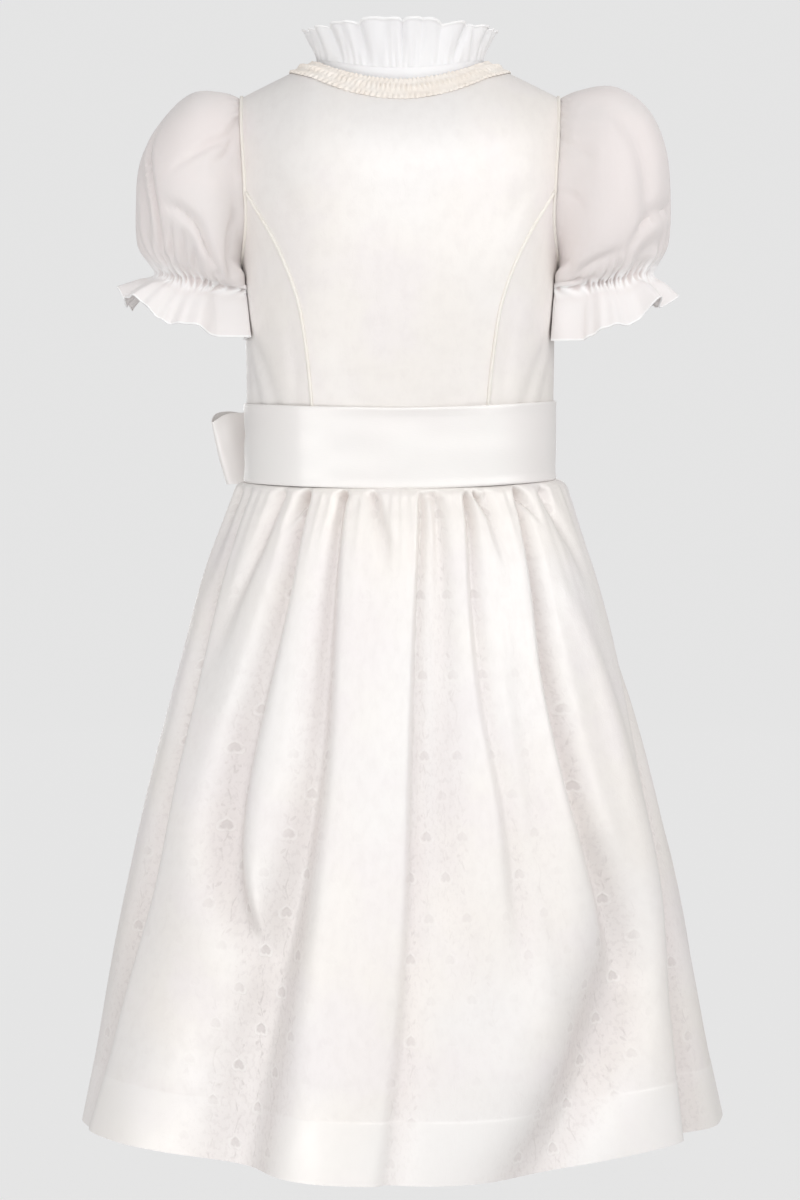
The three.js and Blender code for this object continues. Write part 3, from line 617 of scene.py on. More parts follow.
@dataclass(frozen=True)
class Brocade:
    """Ivory jacquard: a satin ground with small heart sprigs, in half-drop columns.

    Attributes:
        column: From one column of sprigs to the next, in millimetres.
        drop: From one sprig to the next in its column.
        heart: Half-width of the heart.
        leaves: The leaves on each sprig's stem.
    """

    ground: Colour = (0.868, 0.842, 0.826)
    warm: Colour = (0.872, 0.832, 0.795)
    rose: Colour = (0.856, 0.81, 0.812)
    # painted shade: the colour the cloth is tinted towards in the fold valleys
    shade: Colour = (0.69, 0.625, 0.605)
    figure: Colour = (0.64, 0.59, 0.575)
    outline: Colour = (0.90, 0.87, 0.85)
    hem: Colour = (0.92, 0.905, 0.885)
    rough: float = 0.42
    metal: float = 0.14
    column: float = 19.5
    drop: float = 58.0
    heart: float = 4.8
    leaves: tuple[Leaf, ...] = (
        Leaf(2.6, 10.6, 2.5, 1.05, -38), Leaf(-2.9, 13.2, 2.4, 1.0, 40),
        Leaf(2.5, -10.8, 2.4, 1.0, 42), Leaf(-2.4, -13.6, 2.3, 0.95, -36),
        Leaf(1.9, -18.0, 1.9, 0.8, 34), Leaf(-2.0, 18.6, 1.9, 0.8, -34),
    )

    def material(self) -> Material:
        """Builds the finish."""
        draft = Draft("ivory_jacquard")
        u, v = draft.cut()
        x, y, shown = self.in_repeat(draft, u, v)
        # how deep the cloth lies in a fold: the mask for the painted shade below
        hollow = draft.noted("hollow")
        # the hem's two layers are paler, but less so in the fold valleys, where the painted shade stays
        hem = draft.noted("doubled") * (1 - hollow * 0.8)
        shown = shown * (1 - hem * 0.85)
        solid, whole, inside = (
            draft.within(self.heart_field(x, y, self.heart * size), soft, -soft)
            for size, soft in ((0.62, 0.05), (1, 0.08), (0.74, 0.08))
        )
        vine = self.vine(draft, x, y) * draft.within(draft.threads(u * 0.16, v * 0.16), 0.42, 0.62)
        figure = draft.math("MAXIMUM", solid, vine) * shown
        edge = (whole - inside) * shown
        # the figures are the weave's own pattern; painted shade makes them darker, with lighter outlines,
        # mostly in the fold valleys
        clear = 0.035 + hollow * 0.45
        tint = draft.cloud(16, 3)
        mottle = draft.within(draft.threads(u * 0.11, v * 0.075, 5, 0.62), 0.36, 0.76)
        mottle = mottle * (0.12 - hem * 0.06)
        # painted shade: dark flecks only in the fold valleys
        shade_fleck = draft.within(draft.threads(u * 0.3, v * 0.22, 3, 0.6), 0.5, 0.62) * (hollow * 0.3)
        colour = draft.drifting(draft.cloud(7), self.ground, self.warm)
        colour = draft.blend(draft.within(tint, 0.45, 0.7) * 0.55, colour, self.rose)
        # painted shade: the fold valleys are tinted darker and browner
        colour = draft.blend(hollow * 0.4, colour, self.shade)
        for share in (mottle, shade_fleck, figure * clear):
            colour = draft.blend(share, colour, self.figure)
        colour = draft.blend(edge * (clear * 0.75), colour, self.outline)
        colour = draft.blend(hem * 0.3, colour, self.hem)
        rough = self.rough + (figure * clear) * 0.3 + mottle * 0.6 + draft.within(tint, 0.3, 0.7) * 0.12
        fine = draft.threads(u * 2.6, v * 0.12, 2, 0.6) * 0.6 + draft.threads(u * 0.5, v * 2.2, 1) * 0.4
        raised = (edge * 0.6 - figure * 0.5) * (0.25 + hollow)
        normal = draft.relief(fine, 0.00012, Normal=draft.relief(raised, 0.00018))
        return draft.finish(colour, rough, normal, Metallic=self.metal, Specular_IOR_Level=0.7)

    def in_repeat(self, draft: Draft, u: Reading, v: Reading) -> tuple[Reading, Reading, Reading]:
        """Finds the place within the sprig's repeat, and how much of the sprig shows there.

        Args:
            draft: The material that is laid out.
            u: Place across the cloth.
            v: Place along it.

        Returns:
            The place across and along from the sprig's middle, and the share that shows.
        """
        column = draft.math("FLOOR", u * (1 / self.column))
        parity = draft.math("PINGPONG", column, 1)
        spread = draft.noted("spread")
        x = (u - (column + 0.5) * self.column) * spread
        down = v + parity * (self.drop / 2)
        row = draft.math("FLOOR", down * (1 / self.drop))
        y = down - (row + 0.5) * self.drop
        hand = 1 - draft.math("PINGPONG", row, 1) * 2
        return x * hand, y, 1 - parity * draft.within(spread, 0.72, 0.6)

    def heart_field(self, x: Reading, y: Reading, size: float) -> Reading:
        """A heart's outline: below 0 inside, above 0 outside."""
        a, b = x * (1 / size), (y + 0.5) * (1 / size)
        aa, bb = a * a, b * b
        round_part = aa + bb - 1
        return round_part * round_part * round_part - aa * (bb * b)

    def vine(self, draft: Draft, x: Reading, y: Reading) -> Reading:
        """The stem and leaves above and below each heart."""
        off = draft.math("ABSOLUTE", x - draft.math("SINE", y * 0.27) * 1.1)
        along = draft.math("ABSOLUTE", y)
        shape = draft.within(off, 0.6, 0.3) * draft.within(along, self.heart + 1.2, self.heart + 2.2)
        for leaf in self.leaves:
            shape = draft.math("MAXIMUM", shape, self.leaf(draft, x, y, leaf))
        return shape

    @staticmethod
    def leaf(draft: Draft, x: Reading, y: Reading, leaf: Leaf) -> Reading:
        """One leaf: 1 inside, 0 outside."""
        cos, sin = math.cos(leaf.lean * DEG), math.sin(leaf.lean * DEG)
        dx, dy = x - leaf.x, y - leaf.y
        side = dx * (cos / leaf.wide) + dy * (sin / leaf.wide)
        along = dy * (cos / leaf.long) - dx * (sin / leaf.long)
        return draft.within(side * side + along * along, 1.25, 0.75)


@dataclass(frozen=True)
class Satin:
    """Plain ivory satin ribbon, with its threads along the sash."""

    pale: Colour = (0.885, 0.862, 0.842)
    warm: Colour = (0.885, 0.85, 0.832)
    light: Colour = (0.96, 0.945, 0.92)
    rough: float = 0.36
    metal: float = 0.16

    def material(self) -> Material:
        """Builds the finish."""
        draft = Draft("ivory_satin")
        u, v = draft.cut()
        streak = draft.threads(u * 0.05, v * 1.4, 3, 0.6)
        colour = draft.drifting(draft.cloud(11), self.pale, self.warm)
        colour = draft.blend(streak * 0.1, colour, self.light)
        normal = draft.relief(draft.threads(u * 0.2, v * 2.8), 0.00008)
        rough = self.rough + streak * 0.1
        return draft.finish(colour, rough, normal, Metallic=self.metal, Specular_IOR_Level=0.5)


@dataclass(frozen=True)
class Cotton:
    """Fine matt blouse cotton, paler in two layers, with a painted highlight on the sleeves' gathers."""

    name: str
    pale: Colour
    shade: Colour
    thread: Colour = (0.93, 0.92, 0.92)
    # the pale tone for two layers, also used for the painted highlight on the sleeves' gathers
    double_and_highlight: Colour = (0.97, 0.965, 0.965)
    rough: float = 0.72

    def material(self) -> Material:
        """Builds the finish."""
        draft = Draft(self.name)
        u, v = draft.cut()
        weave = draft.threads(u * 3.2, v * 0.4, 1) * 0.5 + draft.threads(u * 0.4, v * 3.2, 1) * 0.5
        colour = draft.drifting(draft.cloud(14, 3), self.pale, self.shade)
        colour = draft.blend(weave * 0.12, colour, self.thread)
        # paler in two layers; on the sleeves also the painted highlight on the gathers and the paler frill
        colour = draft.blend(draft.noted("doubled") * 0.9, colour, self.double_and_highlight)
        return draft.finish(
            colour,
            self.rough + weave * 0.12,
            draft.relief(weave, 0.00014),
            Subsurface_Weight=0.15,
            Subsurface_Scale=0.0015,
            Subsurface_Radius=(1, 0.95, 0.9),
            Sheen_Weight=0.25,
            Sheen_Roughness=0.5,
            Specular_IOR_Level=0.35,
        )


@dataclass(frozen=True)
class Ruching:
    """Cream ribbed ribbon, for the ruched trim."""

    cream: Colour = (0.875, 0.80, 0.725)
    light: Colour = (0.90, 0.845, 0.785)
    rib: Colour = (0.94, 0.90, 0.84)
    rough: float = 0.55

    def material(self) -> Material:
        """Builds the finish."""
        draft = Draft("cream_ruching")
        u, v = draft.cut()
        ribs = draft.threads(u * 1.6, v * 0.3)
        colour = draft.drifting(draft.cloud(60, 3), self.cream, self.light)
        colour = draft.blend(ribs * 0.25, colour, self.rib)
        normal = draft.relief(ribs * 0.7 + draft.cloud(900) * 0.3, 0.0003)
        sheen = {"Sheen_Weight": 0.2, "Sheen_Roughness": 0.5}
        return draft.finish(colour, self.rough + ribs * 0.15, normal, Specular_IOR_Level=0.4, **sheen)


@dataclass(frozen=True)
class Piping:
    """Covered cord: bias-cut satin whose threads run slantwise round it."""

    pale: Colour = (0.885, 0.85, 0.79)
    warm: Colour = (0.87, 0.82, 0.75)
    light: Colour = (0.93, 0.91, 0.87)
    rough: float = 0.42

    def material(self) -> Material:
        """Builds the finish."""
        draft = Draft("covered_cord")
        u, v = draft.cut()
        twist = draft.math("SINE", (u + v * 0.8) * 5.2) * 0.5 + 0.5
        colour = draft.drifting(draft.cloud(40), self.pale, self.warm)
        colour = draft.blend(twist * 0.3, colour, self.light)
        normal = draft.relief(twist, 0.00012)
        sheen = {"Sheen_Weight": 0.1, "Sheen_Roughness": 0.4}
        return draft.finish(colour, self.rough + twist * 0.08, normal, Specular_IOR_Level=0.5, **sheen)


@dataclass(frozen=True)
class Pearl:
    """A polished ivory button with a slow pearly swirl."""

    pale: Colour = (0.87, 0.85, 0.81)
    deep: Colour = (0.80, 0.77, 0.73)
    rough: float = 0.18

    def material(self) -> Material:
        """Builds the finish."""
        draft = Draft("ivory_button")
        swirl, scuff = draft.cloud(260, 3, 0.6), draft.cloud(1500)
        colour = draft.blend(draft.within(swirl, 0.35, 0.7), self.pale, self.deep)
        normal = draft.relief(scuff, 0.00003)
        coat = {"Coat_Weight": 0.4, "Coat_Roughness": 0.15}
        return draft.finish(colour, self.rough + scuff * 0.14, normal, Specular_IOR_Level=0.6, **coat)


@dataclass(frozen=True)
class Backdrop:
    """Matt pale paper, for the floor and the wall behind."""

    tone: Colour = (0.40, 0.40, 0.40)
    light: Colour = (0.44, 0.44, 0.44)
    glow: float = 0.575

    def material(self) -> Material:
        """Builds the finish."""
        draft = Draft("pale_paper")
        grain = draft.cloud(220)
        colour = draft.blend(grain * 0.02, self.tone, self.light)
        glow = {"Emission_Color": (1, 1, 1, 1), "Emission_Strength": self.glow}
        return draft.finish(colour, 0.9, draft.relief(grain, 0.00005), Specular_IOR_Level=0.1, **glow)


@dataclass(frozen=True)
class Pattern:
    """The rectangle that a sheet is cut from, in millimetres, and how the sheet is held."""

    wide: float
    long: float
    held: Held
    rests_on: tuple[str, ...] = ()


@dataclass(frozen=True)
class Dressing:
    """A finish and its slot; dressing a piece gives it the finish and its place in the frame."""

    slot: Slot
    finish: Material

    def piece(self, piece: Piece, node: str) -> Piece:
        """Dresses a piece that stands for a node.

        Args:
            piece: The finished mesh.
            node: The solid it stands for.

        Returns:
            The same piece.
        """
        piece.data.materials.clear()
        piece.data.materials.append(self.finish)
        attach(piece, "root")
        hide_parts(node)
        log.info("%s stands for %s", piece.name, node)
        return piece

    def sheet(self, cloth: Cloth, node: str, pattern: Pattern) -> Piece:
        """Builds a sheet of cloth, dresses it and states the rectangle it is cut from.

        Args:
            cloth: The sheet.
            node: The solid it stands for.
            pattern: Its flat cut.

        Returns:
            The dressed piece.
        """
        piece = self.piece(cloth.build(), node)
        flat = (pattern.wide * MM, pattern.long * MM)
        area = min(cloth.area(), flat[0] * flat[1])
        log.info("  cut from %.3f x %.3f m, of which %.4f m2 is cloth", *flat, area)
        return piece


class Wardrobe:
    """The finishes, each made once."""

    def __init__(self) -> None:
        """Makes every material."""
        self.brocade = Dressing(Slot.BROCADE, Brocade().material())
        self.satin = Dressing(Slot.SATIN, Satin().material())
        # the sleeves' copy of the blouse cotton is darker and pinker than the collar's: partly the sleeve's
        # thin single layer, partly painted shade
        sleeve = Cotton("sleeve_cotton", (0.775, 0.725, 0.71), (0.80, 0.735, 0.72))
        self.sleeve_cotton = Dressing(Slot.COTTON, sleeve.material())
        collar = Cotton("collar_cotton", (0.88, 0.875, 0.88), (0.86, 0.85, 0.86))
        self.collar_cotton = Dressing(Slot.COTTON, collar.material())
        self.ruching = Dressing(Slot.TRIM, Ruching().material())
        self.piping = Dressing(Slot.PIPING, Piping().material())
        self.pearl = Dressing(Slot.BUTTON, Pearl().material())


WARDROBE = Wardrobe()


# --- The worn shape ---


Row = tuple[float, ...]


@dataclass
class DressForm:
    """The worn shape of the bodice's outer face, and the lines cut on it.

    Attributes:
        blade: The height above which the surface closes over the shoulders.
        shoulder_y: Where the shoulder line and the neckline's middle lie.
        neck_point: The shoulder line's inner end, across and up.
        tip: Its outer end.
        levels: Rows of height, half-width, and half-depth behind and in front.
        princess: Rows of height and turn of the back's princess seam.
        armhole: Rows of place round the armhole (0 at the shoulder, 180 at the underarm), height,
            and turn of its edge behind and in front.
    """

    waist: float = -306
    underarm: float = -150
    blade: float = -88
    shoulder_y: float = 4
    neck_point: tuple[float, float] = (66, 10)
    tip: tuple[float, float] = (121, -17)
    torso_power: float = 2.3
    yoke_power: float = 2.0
    neck_side: float = 66
    neck_back: float = 54.5
    neck_front: float = 93.6
    neck_front_power: float = 2.9
    levels: tuple[Row, ...] = (
        (-330, 118, 83, 86), (-252, 117.5, 87, 90), (-180, 118.5, 95, 95), (-140, 121.5, 98, 96),
        (-88, 127, 97, 92),
    )
    princess: tuple[Row, ...] = (
        (-330, 39.5), (-252, 40.4), (-183, 42.6), (-149, 47.5), (-120, 55.5), (-88, 68.2)
    )
    armhole: tuple[Row, ...] = (
        (0, -17, 73.2, 106), (10, -17.8, 73.1, 106.1), (20, -20.6, 72.8, 106.3),
        (30, -25.4, 72.4, 106.6), (45, -36.5, 71.6, 107.3), (60, -48.5, 70.8, 108),
        (90, -88, 68.2, 110), (120, -118, 70.2, 108.6), (150, -141, 78.5, 101.5), (180, -150, 90, 90),
    )

    def __post_init__(self) -> None:
        """Lays smooth lines through the rows."""
        self.side, self.back, self.front = lines(self.levels)
        self.armhole_z, self.armhole_back, self.armhole_front = lines(self.armhole)
        self.edge_back, self.edge_front = lines([row[1:] for row in self.armhole])
        self.princess_turn = lines(self.princess)[0]

    def ridge(self, x: Array) -> Array:
        """Height of the shoulder line over a point x across."""
        share = (np.abs(x) - self.neck_point[0]) / (self.tip[0] - self.neck_point[0])
        return mix(self.neck_point[1], self.tip[1], (share + np.hypot(share, 0.1)) / 2)

    def yoke_share(self, rise: Array) -> Array:
        """How much of its depth the yoke keeps between the blades (0) and the shoulder line (1)."""
        kept = np.maximum(1 - np.clip(rise, 0, 1) ** self.yoke_power, 0) ** (1 / self.yoke_power)
        return np.where(rise > 1 - 1e-7, 0, kept)

    def torso(self, turn: Array, z: Array) -> Array:
        """A point of the worn bodice's outer face.

        Args:
            turn: Turns about Z.
            z: Heights.

        Returns:
            The points.
        """
        turn, z = np.broadcast_arrays(np.asarray(turn, float), np.asarray(z, float))
        level = np.minimum(z, self.blade)
        depth = np.where(faces_back(turn), self.back(level), self.front(level))
        point = polar(oval_radius(self.side(level), depth, self.torso_power, turn), turn, z)
        rise = np.clip((z - self.blade) / (self.ridge(point[..., 0]) - self.blade), 0, 1)
        over = mix(self.shoulder_y, point[..., 1], self.yoke_share(rise))
        point[..., 1] = np.where(z > self.blade, over, point[..., 1])
        return point

    def outward(self, turn: Array, z: Array) -> Array:
        """The outward normal of the worn bodice."""
        step = 0.05
        across = self.torso(turn + step, z) - self.torso(turn - step, z)
        return unit(np.cross(self.torso(turn, z + step) - self.torso(turn, z - step), across))

    def reach(self, x: Array) -> Array:
        """The section at the blades: the share of its depth that it has x across."""
        inside = np.maximum(1 - (np.abs(x) / self.side(self.blade)) ** self.torso_power, 0)
        return inside ** (1 / self.torso_power)

    def blade_depth(self, y: Array) -> Array:
        """Signed depth of the section at the blades, on the side of y."""
        return np.where(y >= self.shoulder_y, self.back(self.blade), -self.front(self.blade))

    def yoke_height(self, x: Array, y: Array) -> Array:
        """Height of the surface over the shoulders at a point of the plan."""
        depth = self.blade_depth(y) * self.reach(x) - self.shoulder_y
        share = np.clip((y - self.shoulder_y) / depth, 0, 1)
        rise = np.maximum(1 - share**self.yoke_power, 0) ** (1 / self.yoke_power)
        return mix(self.blade, self.ridge(x), rise)

    def neck_depth(self, back: Array) -> tuple[Array, Array]:
        """Depth and power of the neckline's plan, to the back or to the front."""
        depth = np.where(back, self.neck_back, self.neck_front)
        return depth, np.where(back, 2.0, self.neck_front_power)

    def top_edge(self, turn: Array) -> Array:
        """Height of the bodice's top edge at a turn: the neckline, then the shoulder seam."""
        point = self.torso(turn, self.blade)
        x, back = point[..., 0], point[..., 1] > 0
        across = np.abs(x) / self.neck_side
        depth, power = self.neck_depth(back)
        inside = np.maximum(1 - np.minimum(across, 1) ** power, 0) ** (1 / power)
        y = self.shoulder_y + np.where(back, depth, -depth) * inside
        return np.where(across >= 1, self.ridge(x), self.yoke_height(x, y))

    def armhole_turn(self, z: Array, back: bool) -> Array:
        """Turn of the armhole's edge at a height, behind or in front."""
        return np.where(z <= self.underarm, 90, (self.edge_back if back else self.edge_front)(z))

    def armhole_round(self, place: Array) -> tuple[Array, Array]:
        """Turn and height of the armhole's edge; 0 to 180 is the back, 180 to 360 the front."""
        back = place <= 180
        along = np.where(back, place, 360 - place)
        return np.where(back, self.armhole_back(along), self.armhole_front(along)), self.armhole_z(along)

    def neckline(self, turn: Array) -> Array:
        """The neckline at a turn about the neck, laid on the yoke."""
        depth, power = self.neck_depth(faces_back(turn))
        point = polar(oval_radius(self.neck_side, depth, power, turn), turn, 0, self.shoulder_y)
        point[..., 2] = self.yoke_height(point[..., 0], point[..., 1])
        return point

    def onto_yoke(self, point: Array) -> Array:
        """Moves points near the yoke onto it: up or down where it lies, level where it stands."""
        x, y, z = (point[..., i] for i in range(3))
        rise = np.clip((z - self.blade) / (self.ridge(x) - self.blade), 0, 1)
        level = mix(self.shoulder_y, self.blade_depth(y) * self.reach(x), self.yoke_share(rise))
        flat = rise > 0.6
        return joined(x, np.where(flat, y, level), np.where(flat, self.yoke_height(x, y), z))

    def beside_neck(self, turn: Array, away: Array) -> Array:
        """A point of the yoke at a distance from the neckline, away from the neck.

        Args:
            turn: Turns about the neck.
            away: Distances from the neckline.

        Returns:
            The points.
        """
        start = self.neckline(turn)
        along = unit(self.neckline(turn + 0.5) - self.neckline(turn - 0.5))
        down = joined(start[..., 0], start[..., 1] - self.shoulder_y, 0)
        down = unit(down) - np.array([0, 0, 1.0])
        outward = self.onto_yoke(start + 0.2 * down) - start
        outward = unit(outward - along * (outward * along).sum(-1, keepdims=True))
        return self.onto_yoke(start + outward * np.asarray(away)[..., None])


FORM = DressForm()
BUTTON_STAND = 2.6  # how far the right front stands off the left one where it laps over it


def lap_lift(x: Array, spread: float = 0) -> Array:
    """How far the button stand lifts what lies on it, x across from the centre front."""
    return BUTTON_STAND * (1 - ease((np.abs(x) - 12 - spread) / 14))


def waist_tilt(turn: Array) -> Array:
    """How far the waist rises towards the sides, most at the wearer's right."""
    across = np.sin(turn * DEG)
    return np.where(across < 0, 4.5, 2.5) * across**2


# --- Bodice ---


@dataclass
class BodicePanel:
    """One panel of the bodice, pressed by its creases and turned under at its seams.

    Attributes:
        points: The panel's outer face before it is pressed.
        turned: Whether the grid's own normals point inward.
        creases: Soft troughs and ridges, by turn and height.
        seams: How close each grid point lies to a sewn edge: 0 far from it, 1 on it.
        pattern: The flat cut.
    """

    name: str
    node: str
    points: Array
    turned: bool
    creases: tuple[Crease, ...]
    seams: Array
    pattern: Pattern
    thick: Array | float = 0.7
    turn_under: float = 0.5
    swell: float = 0.35

    def make(self) -> Piece:
        """Builds the panel and dresses it."""
        normals = grid_normals(self.points, False, self.turned)
        depth = pressed_by(self.creases, self.points, FORM.torso)
        drift = Drift(len(self.name), (0.022, 0.022))
        depth = depth + self.swell * drift(self.points[..., 0] + 300, self.points[..., 2] + 900)
        depth = depth * (1 - self.seams) + self.turn_under * self.seams**3
        outer = self.points - normals * depth[..., None]
        cloth = Cloth(self.name, outer, self.flat(outer), self.thick, turned=self.turned)
        return WARDROBE.brocade.sheet(cloth, self.node, self.pattern)

    @staticmethod
    def flat(outer: Array) -> Array:
        """Where the panel's points lie on the flat cloth: along its rows and down its columns."""
        middle = outer.shape[1] // 2
        across = run_along(outer, 1)
        across = across - across[:, middle : middle + 1]
        down = run_along(outer[:, middle])[:, None]
        return joined(across + 500, down + 500)


@dataclass
class Bodice:
    """The brocade bodice: centre back, two side backs and two fronts.

    Attributes:
        gap: Half the width of a sewn seam's groove.
        lap: How far the right front laps past the centre front.
    """

    gap: float = 0.15
    lap: float = 8

    def rows(self, count: int, over: int) -> Array:
        """Rows from 0 at the waist to 1 at the blades, and on to 2 over the shoulder."""
        left = np.append(np.cos(np.linspace(0, 90, over)[:-1] * DEG), [0.02, 0.01, 0.004, 0])
        rise = (1 - left**FORM.yoke_power) ** (1 / FORM.yoke_power)
        return np.concatenate([np.linspace(0, 1, count, endpoint=False), 1 + rise])

    def row_height(self, top: Array, row: Array) -> Array:
        """Height of a row in a column that ends at a top."""
        below = mix(FORM.waist + self.gap, FORM.blade, np.minimum(row, 1))
        return below + (top - FORM.blade) * np.maximum(row - 1, 0)

    def edge_turn(self, z: Array) -> Array:
        """Turn of the centre back's edge: just inside the princess seam, then the armhole."""
        seam = np.where(z < FORM.blade, FORM.princess_turn(z), FORM.armhole_turn(z, True))
        return seam - self.gap_turn(seam, z)

    def lap_turn(self, z: Array) -> Array:
        """Turn of a front's free edge from the centre front, which it laps past."""
        return -self.lap / (FORM.front(np.minimum(z, FORM.blade)) * DEG)

    def gap_turn(self, turn: Array, z: Array) -> Array:
        """The seam's half-gap as a turn."""
        point = FORM.torso(turn, z)
        return self.gap / (np.hypot(point[..., 0], point[..., 1]) * DEG)

    def columns(self, depth: Curve) -> Array:
        """Turns of the columns from the middle, close together where the neckline is steep."""
        steep = 56 + 10 * np.sin(np.linspace(0, 90, 11) * DEG)
        shoulder = np.linspace(66, FORM.tip[0], 26)[1:-1]
        end = FORM.tip[0] - np.array([1.6, 0.8, 0.35, 0])
        x = np.concatenate([np.linspace(0, 56, 26, endpoint=False), steep, shoulder, end])
        return np.arctan2(x, depth(FORM.blade) * FORM.reach(x)) / DEG

    @staticmethod
    def sewn(points: Array, *edges: str) -> Array:
        """How close each point lies to a sewn edge: 1 on it, 0 from a little way inward.

        Args:
            points: The panel's outer face.
            edges: Its sewn edges: first, last, top.

        Returns:
            The closeness of each point.
        """
        close = []
        for edge in edges:
            axis = 1 if edge in ("first", "last") else 0
            grid = np.flip(points, axis) if edge in ("last", "top") else points
            near = 1 - ease(run_along(grid, axis) / 1.5)
            close.append(np.flip(near, axis) if edge in ("last", "top") else near)
        return np.max(close, 0)

    def centre_back(self) -> BodicePanel:
        """The centre back, from one princess seam and armhole to the other."""
        tip = float(FORM.armhole_back(0.0))
        half = self.columns(FORM.back) / tip
        s = np.concatenate([-half[:0:-1], half])[None]
        t = self.rows(64, 34)[:, None]
        z = self.row_height(FORM.top_edge(s * self.edge_turn(FORM.tip[1])), t)
        points = FORM.torso(s * self.edge_turn(z), z)
        points[..., 1] += self.gap * ease(t - 1)
        creases = (
            Crease(((-6, -140), (4, -160), (16, -170)), (0, 0.5, 0), 16),
            Crease(((28, -232), (20, -246), (8, -252)), (0, 0.6, 0), 6),
            Crease(((-30, -236), (-20, -248), (-9, -252)), (0, 0.7, 0), 6),
            Crease(((58, -44), (40, -66), (22, -74)), (0, 1.0, 0.2), 9),
            Crease(((-58, -44), (-42, -64), (-24, -70)), (0, 1.0, 0.2), 9),
            Crease(((60, -70), (48, -96), (40, -130)), (0, 0.8, 0), 8),
            Crease(((-60, -70), (-50, -98), (-41, -128)), (0, 0.7, 0), 8),
        )
        seams = self.sewn(points, "first", "last", "top")
        pattern = Pattern(265, 345, Held.STRETCHED)
        return BodicePanel("bodice_centre_back", "back_centre", points, False, creases, seams, pattern)

    def side_back(self, side: Side) -> BodicePanel:
        """A side back, between the princess seam, the armhole and the side seam.

        Args:
            side: The side it is cut for.

        Returns:
            The panel, ready to be made.
        """
        hand, word = side.value, side.name.lower()
        s = edge_shares(30, 80, (0.35, 0.8, 1.6))[None]
        t = np.linspace(0, 1, 74)[:, None]
        round_place = 90 + 90 * s
        z = mix(FORM.waist + self.gap, FORM.armhole_z(round_place), t)
        start = FORM.princess_turn(FORM.armhole_z(round_place))
        share = mix(s, (FORM.armhole_back(round_place) - start) / (90 - start), t)
        inner = FORM.princess_turn(z) + self.gap_turn(FORM.princess_turn(z), z)
        points = FORM.torso(hand * mix(inner, 90 - self.gap / 2, share), z)
        leans = 1.0 if side is Side.LEFT else 0.7
        creases = (
            Crease(((hand * 84, -176), (hand * 66, -214), (hand * 56, -256)), (0, 1.9 * leans, 1.2), 6),
            Crease(((hand * 78, -204), (hand * 70, -236), (hand * 66, -262)), (0, 1.5 * leans, 1.2), 5),
            Crease(((hand * 74, -130), (hand * 60, -166), (hand * 52, -196)), (0, -1.0, 0), 9),
            Crease(((hand * 88, -160), (hand * 80, -186), (hand * 76, -214)), (1.2, 1.4, 0), 7),
            Crease(((hand * 50, -176), (hand * 47, -214), (hand * 48, -250)), (0, 0.9, 0.6), 5),
        )
        seams = self.sewn(points, "first", "last", "top")
        names = (f"bodice_side_{word}", f"back_side_{word}")
        pattern = Pattern(105, 215, Held.STRETCHED)
        return BodicePanel(*names, points, hand < 0, creases, seams, pattern)

    def front(self, side: Side) -> BodicePanel:
        """A front, from its free edge past the middle to the side seam, armhole and shoulder.

        Args:
            side: The side it is cut for.

        Returns:
            The panel, ready to be made.
        """
        hand, word = side.value, side.name.lower()
        tip = 180 - float(FORM.armhole_front(0.0))
        start = float(self.lap_turn(FORM.blade))
        turns = self.columns(FORM.front)
        turns = np.concatenate([np.linspace(start, 0, 5, endpoint=False), turns])
        s = ((turns - start) / (tip - start))[None]
        t = self.rows(60, 34)[:, None]
        sewn_tip = tip - self.gap_turn(180 - tip, FORM.tip[1])
        z = self.row_height(FORM.top_edge(180 - mix(start, sewn_tip, s)), t)
        outer = FORM.armhole_turn(np.minimum(z, FORM.tip[1]), False)
        edge = 180 - outer - np.where(outer > 90.5, self.gap_turn(outer, z), 0)
        turn = hand * (180 - mix(self.lap_turn(z), edge, s))
        points = FORM.torso(turn, z)
        points[..., 1] -= self.gap
        if side is Side.RIGHT:
            points += FORM.outward(turn, z) * lap_lift(points[..., 0])[..., None]
        creases = (
            Crease(((hand * 96, -182), (hand * 112, -216), (hand * 122, -250)), (1.0, 1.6, 0.8), 6),
            Crease(((hand * 100, -160), (hand * 122, -186), (hand * 140, -204)), (0.8, 1.0, 0), 8),
            Crease(((hand * 112, -60), (hand * 130, -96), (hand * 146, -120)), (0.4, 1.0, 0), 9),
            Crease(((hand * 164, -232), (hand * 150, -246), (hand * 138, -252)), (0, 0.8, 0), 6),
        )
        seams = self.sewn(points, "last", "top")
        names = (f"bodice_front_{word}", f"front_{word}")
        pattern = Pattern(185, 345, Held.STRETCHED)
        thick = 0.7 + (0.62 * lap_lift(points[..., 0]) if side is Side.RIGHT else 0)
        return BodicePanel(*names, points, hand > 0, creases, seams, pattern, thick)

    def make(self) -> list[Piece]:
        """Builds the five panels."""
        panels = [self.centre_back()]
        for side in Side:
            panels += [self.side_back(side), self.front(side)]
        return [panel.make() for panel in panels]


# --- Trim and piping ---


